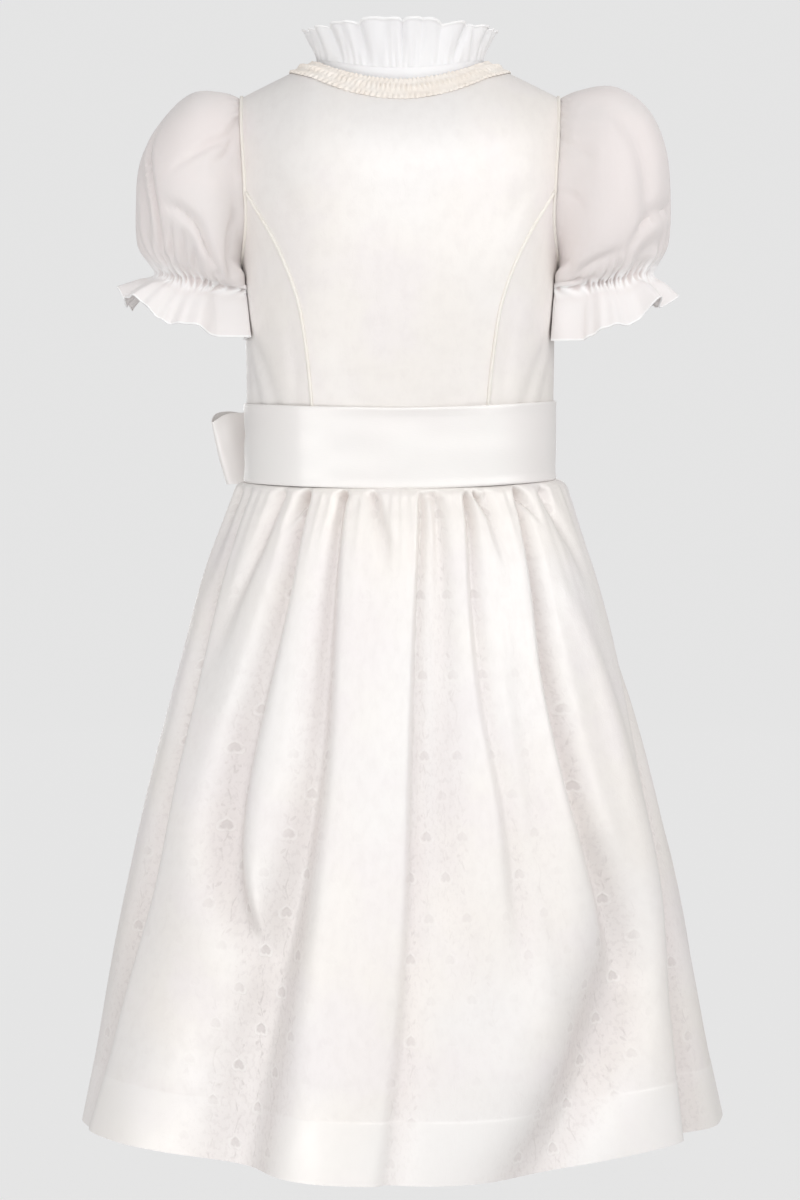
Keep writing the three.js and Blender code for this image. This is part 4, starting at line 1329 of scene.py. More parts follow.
@dataclass
class NeckRuching:
    """The ruched ribbon round the neckline, pinched by two rows of stitches.

    Attributes:
        shoulder_width: The finished width on the shoulders, where it is pressed.
        pleats: How many pleats go round the neck.
        rest: How far its foot lies above the bodice.
        edge_puff: Height of the open mouths along its edges.
        middle_puff: Height of the puffs between the two rows of stitches.
    """

    back_width: float = 20.5
    shoulder_width: float = 18
    front_width: float = 16.5
    start: float = 174
    end: float = -185.4
    pleats: int = 104
    rest: float = 0.35
    edge_puff: float = 1.4
    middle_puff: float = 1.9

    def width(self, turn: Array) -> Array:
        """The finished width at a turn about the neck."""
        ends = np.where(faces_back(turn), self.back_width, self.front_width)
        return mix(ends, self.shoulder_width, np.sin(turn * DEG) ** 2)

    def make(self) -> list[Piece]:
        """Builds the trim."""
        s = np.linspace(0, 1, self.pleats * 8 + 1)[None]
        t = np.linspace(0, 1, 17)[:, None]
        pleat = s * self.pleats
        uneven = Drift(5, (0.31, 2.6))(pleat, t + 0 * s)
        lively = Drift(6, (0.83, 5.0))(pleat, t + 0 * s)
        wave = np.abs(np.sin(np.pi * (pleat + 0.3 * uneven)))
        between = np.abs(np.cos(np.pi * (pleat + 0.3 * uneven)))
        at_edges = bump(t / 0.17) + bump((t - 1) / 0.17)
        at_middle = bump((t - 0.5) / 0.15)
        turn = mix(self.start, self.end, s) + 0 * t
        away = self.width(turn) * (1 - t) + 1.1 * (wave - 0.5) * (bump(t / 0.12) - bump((t - 1) / 0.12))
        base = FORM.beside_neck(turn, away)
        puffs = self.edge_puff * at_edges * wave**1.2 + self.middle_puff * at_middle * between**1.2
        laid = ease(np.minimum(t, 1 - t) / 0.07)
        height = self.rest + 0.25 + (0.25 + puffs * (1 + 0.3 * uneven + 0.45 * lively)) * mix(0.25, 1, laid)
        late_front = (s > 0.5) & (base[..., 1] < 0)
        height = height + np.where(late_front, lap_lift(base[..., 0]), 0)
        outer = base + grid_normals(base, False, True) * height[..., None]
        ribbon = self.pleats * 9.0
        cloth = Cloth("neck_ruching", outer, joined(s * ribbon, t * 24), 0.6, turned=True)
        pattern = Pattern(ribbon, 24, Held.GATHERED, ("bodice_centre_back",))
        return [WARDROBE.ruching.sheet(cloth, "neck_trim", pattern)]


@dataclass
class PipedSeams:
    """Covered cord in the back's princess seams and round both armholes.

    Attributes:
        proud: How far its middle stands above the cloth.
    """

    radius: float = 1.3
    proud: float = 0.35
    sash_top: float = -251

    def princess(self, side: Side) -> Array:
        """The cord's path up a princess seam, from under the sash to the armhole."""
        z = np.linspace(self.sash_top - 2, FORM.blade - 3, 90)
        turn = side.value * FORM.princess_turn(z)
        return FORM.torso(turn, z) + FORM.outward(turn, z) * self.proud

    def armhole(self, side: Side) -> Array:
        """The cord's path round an armhole, from the shoulder down the back and up the front."""
        place = np.linspace(0.4, 359.6, 220)
        turn, z = FORM.armhole_round(place)
        point, normal = FORM.torso(turn, z), FORM.outward(turn, np.minimum(z, FORM.tip[1] - 0.5))
        along = unit(np.gradient(point, axis=0))
        aside = np.cross(normal, along)
        path = point + normal * self.proud + aside * (self.radius * 0.6)
        path[:, 0] *= side.value
        return path

    def make(self) -> list[Piece]:
        """Builds the four cords."""
        made = []
        for side in Side:
            word = side.name.lower()
            for where, path, node in (
                ("princess", self.princess(side), f"piping_back_{word}"),
                ("armhole", self.armhole(side), f"piping_armhole_{word}"),
            ):
                piece = cord(f"cord_{where}_{word}", path, self.radius)
                made.append(WARDROBE.piping.piece(piece, node))
        return made


# --- Blouse ---


@dataclass(frozen=True)
class Heights:
    """Heights of a collar edge at its back, sides and front."""

    back: float
    side: float
    front: float

    def at(self, turn: Array) -> Array:
        """The edge's height at a turn."""
        ends = np.where(faces_back(turn), self.back, self.front)
        return mix(ends, self.side, np.abs(np.sin(turn * DEG)) ** 2.5)


@dataclass
class Collar:
    """The blouse's yoke, its low collar band and the frill that stands on it.

    Attributes:
        under: How far the yoke lies below the bodice's outer face.
        flare: How far the frill leans out at its top.
        hollows: The frill's hollows, by turn, depth, half-width and slant in degrees.
    """

    side: float = 63
    back: float = 51.5
    front: float = 54
    under: float = 4.1
    flare: float = 9
    band_top: Heights = Heights(1.5, 11, 4)
    frill_top: Heights = Heights(36, 34, 35)
    hollows: tuple[tuple[float, float, float, float], ...] = (
        (-2, 6.0, 2.8, 0), (12.5, 2.0, 4, -3), (28.5, 7.0, 4.6, 6), (41, 1.8, 3, 4), (53.5, 7.0, 5.4, 5),
        (69, 5.5, 4.5, 2), (83, 6.5, 5, -3), (99, 6.0, 5, 4), (116, 6.5, 6, 0), (134, 5.5, 5, -5),
        (151, 6.5, 6, 3), (170, 6.0, 5, -2), (-172, 6.0, 4.5, 2), (-154, 6.5, 6, -3), (-136, 5.5, 5, 3),
        (-118, 6.5, 6, 0), (-101, 6.0, 5, -4), (-86, 5.0, 4, 2), (-73, 6.0, 4.5, -3), (-60, 4.5, 3.6, 5),
        (-48, 6.5, 4.2, -6), (-32, 6.5, 5.4, 0), (-17, 2.6, 2.4, 2),
    )

    def plan(self, turn: Array) -> Array:
        """Radius of the collar's foot."""
        depth = np.where(faces_back(turn), self.back, self.front)
        return oval_radius(self.side, depth, 2, turn)

    def foot(self, turn: Array) -> Array:
        """The collar's foot, laid on the shape of the shoulders."""
        point = polar(self.plan(turn), turn, 0, FORM.shoulder_y)
        point[..., 2] = FORM.yoke_height(point[..., 0], point[..., 1])
        return point

    def yoke(self) -> Piece:
        """The blouse's yoke, from below the bodice's neckline up to the collar."""
        turn = np.linspace(180, 540, 180, endpoint=False)[None]
        t = np.linspace(0, 1, 28)[:, None]
        under = FORM.beside_neck(turn + 0 * t, 17 * (1 - np.minimum(t / 0.3, 1)))
        start, foot = FORM.neckline(turn), self.foot(turn)
        share = np.clip((t - 0.3) / 0.7, 0, 1) ** 1.6
        shown = FORM.onto_yoke(mix(start, foot, share[..., None]))
        base = np.where((t < 0.3)[..., None], under, shown)
        gathers = 0.5 * np.sin(turn * DEG * 48) * t**2 * (np.cos(turn * DEG) < 0)
        drift = 0.5 * Drift(11, (0.05, 3.0))(turn, t)
        outer = base - grid_normals(base, True) * (self.under + gathers + drift)[..., None]
        pattern = Pattern(430, 62, Held.LAID)
        cloth = Cloth("blouse_shoulders", outer, ring_cut(outer, 430, 62), 0.5, closed=True)
        return WARDROBE.collar_cotton.sheet(cloth, "blouse_yoke", pattern)

    def band(self) -> Piece:
        """The low band between the yoke and the frill."""
        turn = np.linspace(0, 360, 200, endpoint=False)[None]
        t = np.linspace(0, 1, 7)[:, None]
        low = self.foot(turn)[..., 2] - self.under + 0.5
        z = mix(low, self.band_top.at(turn), t)
        outer = polar(self.plan(turn) + 0.5 * np.sin(np.pi * t), turn, z, FORM.shoulder_y)
        pattern = Pattern(362, 22, Held.STRETCHED, ("blouse_shoulders",))
        cloth = Cloth("collar_stand", outer, ring_cut(outer, 362, 22), 1.0, closed=True)
        return WARDROBE.collar_cotton.sheet(cloth, "collar_band", pattern)

    def frill(self) -> Piece:
        """The frill: uneven lobes that open towards its top, over fine gathers at its foot."""
        turn = np.linspace(-180, 180, 600, endpoint=False)[None]
        t = np.concatenate([np.linspace(0, 0.94, 20), [0.955, 0.97, 1]])[:, None]
        hollow, sway = 0 * turn * t, 0 * turn * t
        for place, deep, wide, slant in self.hollows:
            away = turned_between(turn, place + slant * (t - 0.5)) / wide
            hollow = hollow + deep * bump(away)
            sway = sway - 0.16 * deep * away * bump(away * 0.8)
        warp = turn + 2.5 * np.sin(turn * DEG * 9)
        gathers = 0.5 * np.sin(warp * DEG * 54) * (1 - t) ** 1.1 * (0.4 + 0.6 * bump(hollow / 4))
        folds = 1.0 * Drift(21, (0.16, 1.4))(turn + 400, t) * np.sin(np.pi * t)
        radius = self.plan(turn) + (self.flare + 2.5) * t**1.25 - hollow * t**0.8 + gathers + folds
        low = self.band_top.at(turn) - 0.6
        dip = 0.35 * (2 - hollow) + 1.3 * Drift(3, (0.06, 1))(turn + 400, 0.5)
        high = self.frill_top.at(turn) + dip
        outer = polar(radius, turn + sway * t, mix(low, high, t), FORM.shoulder_y)
        hem = np.broadcast_to(t > 0.945, outer.shape[:2]).astype(float)
        cut, thick = ring_cut(outer, 760, 36), 0.45 + 0.5 * hem
        cloth = Cloth("collar_ruffle", outer, cut, thick, closed=True, turned=True, doubled=hem)
        pattern = Pattern(760, 36, Held.GATHERED, ("collar_stand",))
        return WARDROBE.collar_cotton.sheet(cloth, "collar_frill", pattern)

    def make(self) -> list[Piece]:
        """Builds the yoke, the band and the frill."""
        return [self.yoke(), self.band(), self.frill()]


@dataclass
class PuffSleeve:
    """A short puff sleeve, gathered by elastic above its frill.

    `round` goes about the arm: 0 on top, 90 behind, 180 under the arm, 270 in front. `ring` goes
    down the sleeve: 0 at the armhole, 7 at the elastic, 9 at the frill's hem.

    Attributes:
        side: Which arm it is on.
        reach: How much farther out each ring reaches than the drafted one.
        lift: How much higher each ring's outer side stands.
        sag: How much lower the frill hangs behind the arm.
        creases: The main folds, by place round the arm and ring.
        rings: Rows of the outer point (x, z), the inner point (x, z) and the half-depth.
    """

    side: Side
    reach: tuple[float, ...]
    lift: tuple[float, ...]
    sag: float
    creases: tuple[Crease, ...]
    power: float = 2.2
    armhole_middle: float = -81
    elastic: float = 7
    frill_wave: float = 5.5
    columns: int = 320
    rings: tuple[Row, ...] = (
        (134, -13, 120, -151, 47), (160, -13, 121.5, -153, 58), (184, -30, 121, -157, 63),
        (200, -60, 120.6, -160, 65), (206, -96, 120.2, -162.5, 60), (204, -128, 119.8, -164, 48),
        (191, -149, 119.4, -164.5, 35), (200, -159, 119, -177, 41), (211, -168, 118.6, -200, 50),
    )

    def armhole(self, place: Array) -> Array:
        """The sleeve's first ring, drawn in by a seam's width from the armhole."""
        turn, z = FORM.armhole_round(place)
        height = np.minimum(z, FORM.tip[1])
        point = FORM.torso(turn, height) - 0.3 * FORM.outward(turn, height - 0.5)
        middle = joined(point[..., 0], FORM.shoulder_y, self.armhole_middle)
        return point + unit(middle - point) * 1.0

    def ring(self, index: int, place: Array) -> Array:
        """Points of one ring at places round the arm."""
        if index == 0:
            return self.armhole(place)
        out_x, out_z, in_x, in_z, depth = self.rings[index - 1]
        out_x, out_z = out_x + self.reach[index - 1], out_z + self.lift[index - 1]
        span = math.hypot(out_x - in_x, out_z - in_z)
        radius = oval_radius(depth, span / 2, self.power, place)
        along = radius * np.cos(place * DEG) / span + 0.5
        y = FORM.shoulder_y + radius * np.sin(place * DEG)
        return joined(mix(in_x, out_x, along), y, mix(in_z, out_z, along))

    @cached_property
    def knots(self) -> Array:
        """Every ring at every whole degree."""
        place = np.arange(361.0)
        return np.array([self.ring(i, place) for i in range(len(self.rings) + 1)])

    def shape(self, place: Array, ring: Array) -> Array:
        """The sleeve's smooth shape before it is creased, on its own side.

        Args:
            place: Places round the arm, in degrees.
            ring: Rings, whole or between two.

        Returns:
            The points.
        """
        place, ring = np.broadcast_arrays(np.mod(place, 360.0), np.clip(ring, 0, 9))
        degree = np.minimum(np.floor(place).astype(int), 359)
        part = (place - degree)[..., None]

        def knot(index: Array) -> Array:
            """Points of whole rings."""
            held = np.clip(index, 0, 9)
            return mix(self.knots[held, degree], self.knots[held, degree + 1], part)

        low = np.minimum(np.floor(ring).astype(int), 8)
        t = (ring - low)[..., None]
        one, two = knot(low), knot(low + 1)
        leave = (two - knot(low - 1)) * np.where(low > 0, 0.5, 1)[..., None]
        arrive = (knot(low + 2) - one) * np.where(low < 8, 0.5, 1)[..., None]
        point = mix(one, two, t * t * (3 - 2 * t)) + t * (1 - t) ** 2 * leave + t * t * (t - 1) * arrive
        return point * np.array([self.side.value, 1, 1])

    def gathers(self, place: Array, ring: Array) -> Array:
        """Heights of the gathers at the head, at the elastic and just above it."""
        hand = self.side.value
        uneven = 6 * Drift(31 + hand, (0.03, 0.6))(place + 400, ring)
        shirred = 1.5 * np.sin((place * 58 + 60 * uneven) * DEG) * bump((ring - self.elastic) / 0.36)
        long = np.sin((place * 23 + 70 * uneven) * DEG) * bump((ring - 6.5) / 0.8) * 1.3
        top = bump(turned_between(place, 0) / 75)
        head = 0.8 * np.sin((place * 34 + 60 * uneven) * DEG) * bump(ring / 0.55) * top
        tape = -1.4 * bump((ring - self.elastic) / 0.16)
        return shirred + long + head + tape

    def ruffle(self, place: Array, ring: Array) -> tuple[Array, Array]:
        """How far the frill's lobes move it outward and up.

        Args:
            place: Places round the arm, in degrees.
            ring: Rings down the sleeve.

        Returns:
            The distance outward and the distance up.
        """
        frill = np.clip((ring - self.elastic) / (9 - self.elastic), 0, 1)
        outer = 0.5 + 0.5 * np.cos(place * DEG)
        warp = 12 * np.sin(place * DEG * 2 + self.side.value)
        lobes = np.sin((place + warp) * DEG * 8 + 0.8 * self.side.value)
        small = 0.28 * np.sin((place - warp) * DEG * 19)
        out = frill**0.9 * (lobes + small) * mix(1.6, 5.6, outer**0.6)
        up = self.frill_wave * frill * np.cos(7 * place * DEG) * outer * 0.6
        behind = bump(turned_between(place, 105) / 42)
        return out, up - self.sag * frill * behind

    def against_body(self, outer: Array, ring: Array) -> Array:
        """Keeps the sleeve outside the bodice, and lays its inner side against it.

        Args:
            outer: The sleeve's points.
            ring: The ring of each row.

        Returns:
            The points, moved across only.
        """
        x, y = np.abs(outer[..., 0]), outer[..., 1]
        z = np.minimum(outer[..., 2], FORM.blade)
        depth = np.where(y > 0, FORM.back(z), FORM.front(z))
        inside = np.maximum(1 - np.minimum(np.abs(y) / depth, 1) ** FORM.torso_power, 0)
        body = FORM.side(z) * inside ** (1 / FORM.torso_power) + 0.9
        low = ease((-140 - outer[..., 2]) / 12) * ease((ring - 0.4) / 0.8)
        near = mix(5, 15, ease((ring - 5.5) / 1.5))
        laid = np.maximum(ease((ring - 4.5) / 1.5), low) * (1 - ease((x - body - near) / 12))
        held = np.maximum(mix(x, body, laid), np.where(ring > 1, body, 0))
        return joined(self.side.value * held, y, outer[..., 2])

    def make(self) -> list[Piece]:
        """Builds the sleeve with its frill."""
        place = np.linspace(200, 560, self.columns, endpoint=False)[None]
        steps = [np.linspace(0.2, 6.2, 36), np.linspace(6.3, 7.6, 18), np.linspace(7.7, 8.93, 14)]
        ring = np.concatenate([[0, 0.04, 0.1], *steps, [8.95, 8.97, 9]])[:, None]
        base = self.shape(place, ring)
        turned = self.side is Side.RIGHT
        normals = grid_normals(base, True, turned)
        soft = Drift(41 + self.side.value, (0.022, 0.7))(place + 400, ring) * 1.4
        swell = (self.gathers(place, ring) + soft * np.sin(np.pi * ring / 9)) * ease(ring / 0.25)
        swell = swell - pressed_by(self.creases, base, self.shape)
        out, up = self.ruffle(place, ring)
        outer = base + normals * (swell + out)[..., None]
        outer[..., 2] += up
        outer = self.against_body(outer, ring)
        hem = np.broadcast_to(ring > 8.94, outer.shape[:2]).astype(float)
        # painted highlight: the crests of the gathers round the elastic are made paler
        gather_highlight = np.clip(self.gathers(place, ring) + 1.2, 0, 1) * bump((ring - self.elastic) / 0.55)
        # paler: the hem's two layers, the painted highlight, and the whole frill below the elastic
        pale = np.maximum(np.maximum(hem, gather_highlight), 0.4 * ease(ring - self.elastic))
        cut, thick = ring_cut(outer, 420, 245), 0.45 + 0.55 * hem
        word = self.side.name.lower()
        cloth = Cloth(f"puff_sleeve_{word}", outer, cut, thick, closed=True, turned=turned, doubled=pale)
        pattern = Pattern(420, 245, Held.GATHERED, (f"bodice_side_{word}", f"bodice_front_{word}"))
        return [WARDROBE.sleeve_cotton.sheet(cloth, f"sleeve_{word}", pattern)]


LEFT_CREASES = (
    Crease(((14, 3.0), (30, 3.8), (44, 4.2), (56, 4.7), (63, 5.4), (63, 6.4)), (1, 5, 7, 7.5, 5.5, 3), 3.3),
    Crease(((6, 3.6), (20, 4.2), (34, 4.6), (46, 5.2), (52, 6.2)), (0, 3, 4, 3.5, 0.5), 8),
    Crease(((42, 0.2), (58, 1.4), (66, 2.3), (62, 3.7)), (1.5, 4.4, 3.2, 0.2), 3.6),
    Crease(((50, 0.3), (64, 0.9), (80, 1.8)), (1.5, 4.2, 0.3), 3.0),
    Crease(((64, 4.5), (82, 4.1), (102, 3.8), (116, 4.3), (122, 5.4)), (0.8, 4.6, 6.2, 6, 1.5), 4.0),
    Crease(((92, 4.9), (94, 5.6)), (2.8, 2.4), 9),
    Crease(((112, 0.8), (126, 1.1), (138, 2.2), (142, 3.6)), (0.5, 3.8, 5.2, 1.6), 4.0),
    Crease(((76, 4.9), (76, 6.4)), (0.8, 2.6, 2.2, 0.8), 2.2),
    Crease(((87, 4.7), (87, 6.5)), (0.6, 2.4, 2.6, 1.0), 2.2),
    Crease(((98, 4.9), (97, 6.5)), (0.6, 2.2, 2.4, 1.0), 2.2),
    Crease(((128, 4.0), (122, 6.3)), (0.4, 2.0, 2.0, 0.8), 2.6),
)
RIGHT_CREASES = (
    Crease(((34, 1.6), (46, 2.9), (55, 4.0), (60, 4.9)), (1.5, 5.0, 5.6, 3.5), 10),
    Crease(((80, 5.6), (72, 5.3), (60, 5.15), (44, 5.1), (26, 5.2)), (0.8, 3.4, 4.8, 5.2, 3.0), 3.8),
    Crease(((30, 6.0), (48, 5.9), (68, 6.1)), (1.5, 3.2, 1.2), 6.5),
    Crease(((146, 4.6), (126, 5.0), (106, 5.3), (86, 5.5)), (0.8, 3.4, 3.6, 0.8), 4.4),
    Crease(((150, 5.6), (128, 6.0), (104, 6.6)), (1.6, 3.4, 0.8), 3),
    Crease(((56, 0.3), (66, 1.3), (84, 2.0)), (0.8, 1.8, 0), 4.5),
    Crease(((96, 0.4), (108, 1.4), (118, 2.4)), (0.5, 1.6, 0), 4.5),
    Crease(((86, 6.0), (84, 6.7)), (1.5, 1.5), 2.2),
)
FRONT_CREASE = Crease(((-18, 0.3), (-46, 2.8), (-66, 5.2), (-72, 6.6)), (0.4, 2.6, 4.2, 2.0), 8)
LEFT_REACH, RIGHT_REACH = (0, -3, -6, -4, -5, -4, -4, 0, 2), (0, 2, 3, 2, 0, 0, 2, 2, -3)
RIGHT_LIFT = (1, 4, 5, 5, 3, 1, 0, 0, 0)
SLEEVES = (
    PuffSleeve(Side.LEFT, LEFT_REACH, (0,) * 9, 4.0, (*LEFT_CREASES, FRONT_CREASE)),
    PuffSleeve(Side.RIGHT, RIGHT_REACH, RIGHT_LIFT, 7.5, (*RIGHT_CREASES, FRONT_CREASE)),
)


# --- Buttons ---


@dataclass
class FrontButtons:
    """Six shank buttons down the front closing, turned from one block and copied.

    Attributes:
        height: From its foot to the top of its rim.
        rim: Width of the rim round its hollow face.
        hollow: Depth of its face below the rim.
        stand: How far its foot stands off the bodice.
        rounding: Radius of its rounded edges.
    """

    count: int = 6
    top: float = -90
    bottom: float = -236
    radius: float = 4.9
    height: float = 3.2
    rim: float = 1.1
    hollow: float = 0.7
    stand: float = 3.9
    rounding: float = 0.45

    def turned(self) -> Piece:
        """Turns one button, with its foot on the ground plane."""
        size = {"radius": self.radius * MM, "depth": self.height * MM}
        bpy.ops.mesh.primitive_cylinder_add(vertices=40, location=(0, 0, self.height / 2 * MM), **size)
        button = bpy.context.active_object
        bpy.ops.object.transform_apply(location=True)
        for facing, inset, rise in ((1, self.rim, -self.hollow), (1, 1.6, 0.45), (-1, 2.1, -0.5)):
            self.press(button, facing, inset, rise)
        rounding = button.modifiers.new("rounded edge", "BEVEL")
        rounding.width, rounding.segments = self.rounding * MM, 3
        rounding.limit_method, rounding.angle_limit = "ANGLE", math.radians(28)
        only(button)
        bpy.ops.object.modifier_apply(modifier=rounding.name)
        crisp_edges(button, 35)
        return button

    def press(self, button: Piece, facing: int, inset: float, rise: float) -> None:
        """Insets the middle face of one end and moves it.

        Args:
            button: The button.
            facing: 1 for its top, -1 for its foot.
            inset: How far the new face lies inside the old one.
            rise: How far it then moves outward.
        """
        faces = [face for face in button.data.polygons if face.normal.z * facing > 0.9]
        middle = min((face.center.xy.length, face.index) for face in faces)[1]
        only(button)
        bpy.ops.object.mode_set(mode="EDIT")
        bpy.ops.mesh.select_mode(type="FACE")
        bpy.ops.mesh.select_all(action="DESELECT")
        bpy.ops.object.mode_set(mode="OBJECT")
        button.data.polygons[middle].select = True
        bpy.ops.object.mode_set(mode="EDIT")
        bpy.ops.mesh.inset(thickness=inset * MM, depth=0)
        bpy.ops.transform.translate(value=(0, 0, rise * facing * MM))
        bpy.ops.object.mode_set(mode="OBJECT")

    def make(self) -> list[Piece]:
        """Builds the buttons and sews each in its place."""
        model = self.turned()
        made = []
        for i in range(self.count):
            z = np.float64(mix(self.top, self.bottom, i / (self.count - 1)))
            out = Vector(FORM.outward(180, z))
            foot = Vector(FORM.torso(180, z) * MM) + out * (self.stand * MM)
            turn = Vector((0, 0, 1)).rotation_difference(out).to_matrix().to_4x4()
            button = bpy.data.objects.new(f"front_button_{i + 1}", model.data.copy())
            button.data.transform(Matrix.Translation(foot) @ turn)
            bpy.context.scene.collection.objects.link(button)
            made.append(WARDROBE.pearl.piece(button, f"button_{i + 1}"))
        bpy.data.objects.remove(model)
        return made


# --- Skirt ---


@dataclass(frozen=True)
class Fold:
    """A trough between two folds of the skirt, or a crest where its depth is negative.

    Attributes:
        top: The height it starts at.
        bottom: The height it ends at.
        turn: Its turn at even steps on the way.
        deep: Its depth at even steps on the way.
        wide: Its half-width in degrees at even steps on the way.
        lean: From -1 to 1: how much steeper its side towards higher turns is.
    """

    top: float
    bottom: float
    turn: tuple[float, ...]
    deep: tuple[float, ...]
    wide: tuple[float, ...]
    lean: float = 0

    def depth(self, turn: Array, z: Array) -> Array:
        """Its depth at places on the skirt."""
        share = (z - self.top) / (self.bottom - self.top)
        away = turned_between(turn, through(self.turn)(share))
        wide = through(self.wide)(share) * np.where(away > 0, 1 - self.lean, 1 + self.lean)
        shown = (share >= 0) & (share <= 1)
        return np.where(shown, through(self.deep)(share) * bump(away / wide), 0)


W, H = -306, -809  # heights of the waist and the hem
BACK_FOLDS = (
    Fold(W, H, (-9.8, -6, -4.2, -3, -0.7, 2.8), (6, 7, 8, 7.5, 6, 6), (1.8, 4), 0.5),
    Fold(W, -730, (-17, -15, -14, -13, -17, -22), (6, 7, 7, 7, 5, 0), (3, 5.5, 7)),
    Fold(W, -376, (13, 9.8, 6, 4), (8, 6.5, 3, 0), (2, 3.5)),
    Fold(W, H, (26, 25, 25, 28.5, 33.5, 38), (9, 10, 12, 16, 15, 12), (2.0, 4, 6.5, 11), -0.2),
    Fold(W, -672, (41, 41.5, 44.5, 47.5, 46.5, 35), (9, 12, 15, 17, 16, 0), (1.8, 4.4, 5.6), -0.2),
    Fold(W, -455, (52.5, 55, 59.3, 61.5), (9, 7.5, 4, 0), (2.2, 3.6)),
    Fold(W, H, (70, 69, 68.5, 70, 74, 78), (5, 10, 15, 17, 13, 4), (2.4, 4.2), -0.35),
    Fold(W, -400, (78, 78, 77, 76), (8, 6, 3, 0), (2.6, 4)),
    Fold(W, -700, (-31, -27, -27, -30, -31, -31), (9, 8, 7, 6, 5, 0), (2, 3.6)),
    Fold(W, -385, (-38, -38, -39, -40), (5, 5, 2, 0), (2, 3)),
    Fold(-380, -720, (-39, -38, -38, -40), (0, 3, 4, 0), (4, 5)),
    Fold(W, -690, (-52, -49.5, -48.5, -50, -54.5, -58.5), (9, 12, 14, 14, 11, 0), (1.8, 2.6, 3.6), 0.1),
    Fold(-570, H, (-55, -57.5, -54, -45, -31), (0, 7, 13, 14, 11), (4.5, 11), -0.1),
    Fold(W, -390, (-63, -66, -70, -73), (8, 6, 3, 0), (2.4, 4)),
    Fold(-316, H, (-84, -86, -79, -74.5, -71, -69), (0, 9, 11, 14, 16, 16), (3, 4.4), 0.3),
    Fold(-360, -700, (-56, -65, -67, -68, -66), (0, -4, -5, -4, 0), (4, 5)),
    Fold(W, -344, (42, 43.5, 46), (9, 8, 0), (1.2, 1.0)),
    Fold(W, -336, (-32, -35, -38), (9, 8, 0), (1.2, 1.0)),
    Fold(W, -338, (-51, -54, -57), (9, 8, 0), (1.2, 1.0)),
    Fold(W, -322, (25.7, 25.7, 25.7), (10, 9, 0), (3.2, 2.4)),
    Fold(W, -320, (13.5, 13.5, 13.5), (9, 8, 0), (3.2, 2.4)),
    Fold(W, -321, (-14, -14, -14), (10, 9, 0), (3.8, 2.8)),
)
BROAD_FOLDS = (
    Fold(-540, H, (46, 44, 42), (0, 9, 16), (10, 16)),
    Fold(-560, H, (-52, -50, -44), (0, 7, 12), (9, 14)),
)
SIDE_FOLDS = (
    Fold(W, H, (88, 91, 94, 92), (7, 8, 12, 15), (2.8, 5)),
    Fold(W, -470, (101, 103, 104, 105), (9, 7, 4, 0), (2.8, 5)),
    Fold(W, H, (113, 110, 109, 113), (8, 9, 11, 14), (2.8, 6)),
    Fold(W, -580, (124, 125, 127, 128), (8, 8, 5, 0), (2.8, 5)),
    Fold(W, H, (136, 133, 131, 135), (9, 9, 12, 14), (2.8, 7)),
    Fold(W, -430, (147, 149, 151, 152), (8, 6, 3, 0), (2.8, 4)),
    Fold(W, H, (159, 155, 153, 151), (8, 9, 9, 12), (2.8, 6)),
    Fold(W, -700, (171, 170, 168, 166), (8, 7, 5, 0), (2.8, 5)),
    Fold(W, H, (183, 181, 178, 181), (8, 8, 9, 13), (2.8, 6)),
    Fold(W, -500, (194, 195, 196, 197), (8, 6, 4, 0), (2.8, 5)),
    Fold(W, H, (206, 203, 200, 203), (8, 9, 11, 13), (2.8, 7)),
    Fold(W, -620, (217, 217, 214, 213), (8, 7, 5, 0), (2.8, 5)),
    Fold(W, H, (228, 230, 229, 225), (8, 9, 12, 14), (2.8, 6)),
    Fold(W, -440, (240, 241, 243, 244), (9, 6, 3, 0), (2.8, 5)),
    Fold(W, H, (251, 251, 253, 257), (8, 9, 11, 14), (2.8, 6)),
    Fold(W, -600, (262, 265, 266, 265), (8, 8, 5, 0), (2.8, 5)),
)
HEM_RISE = Curve((0, 30, 50, 65, 80, 90, 110, 180), (0, 2, 8, 11, 9, 8, 5, 0))


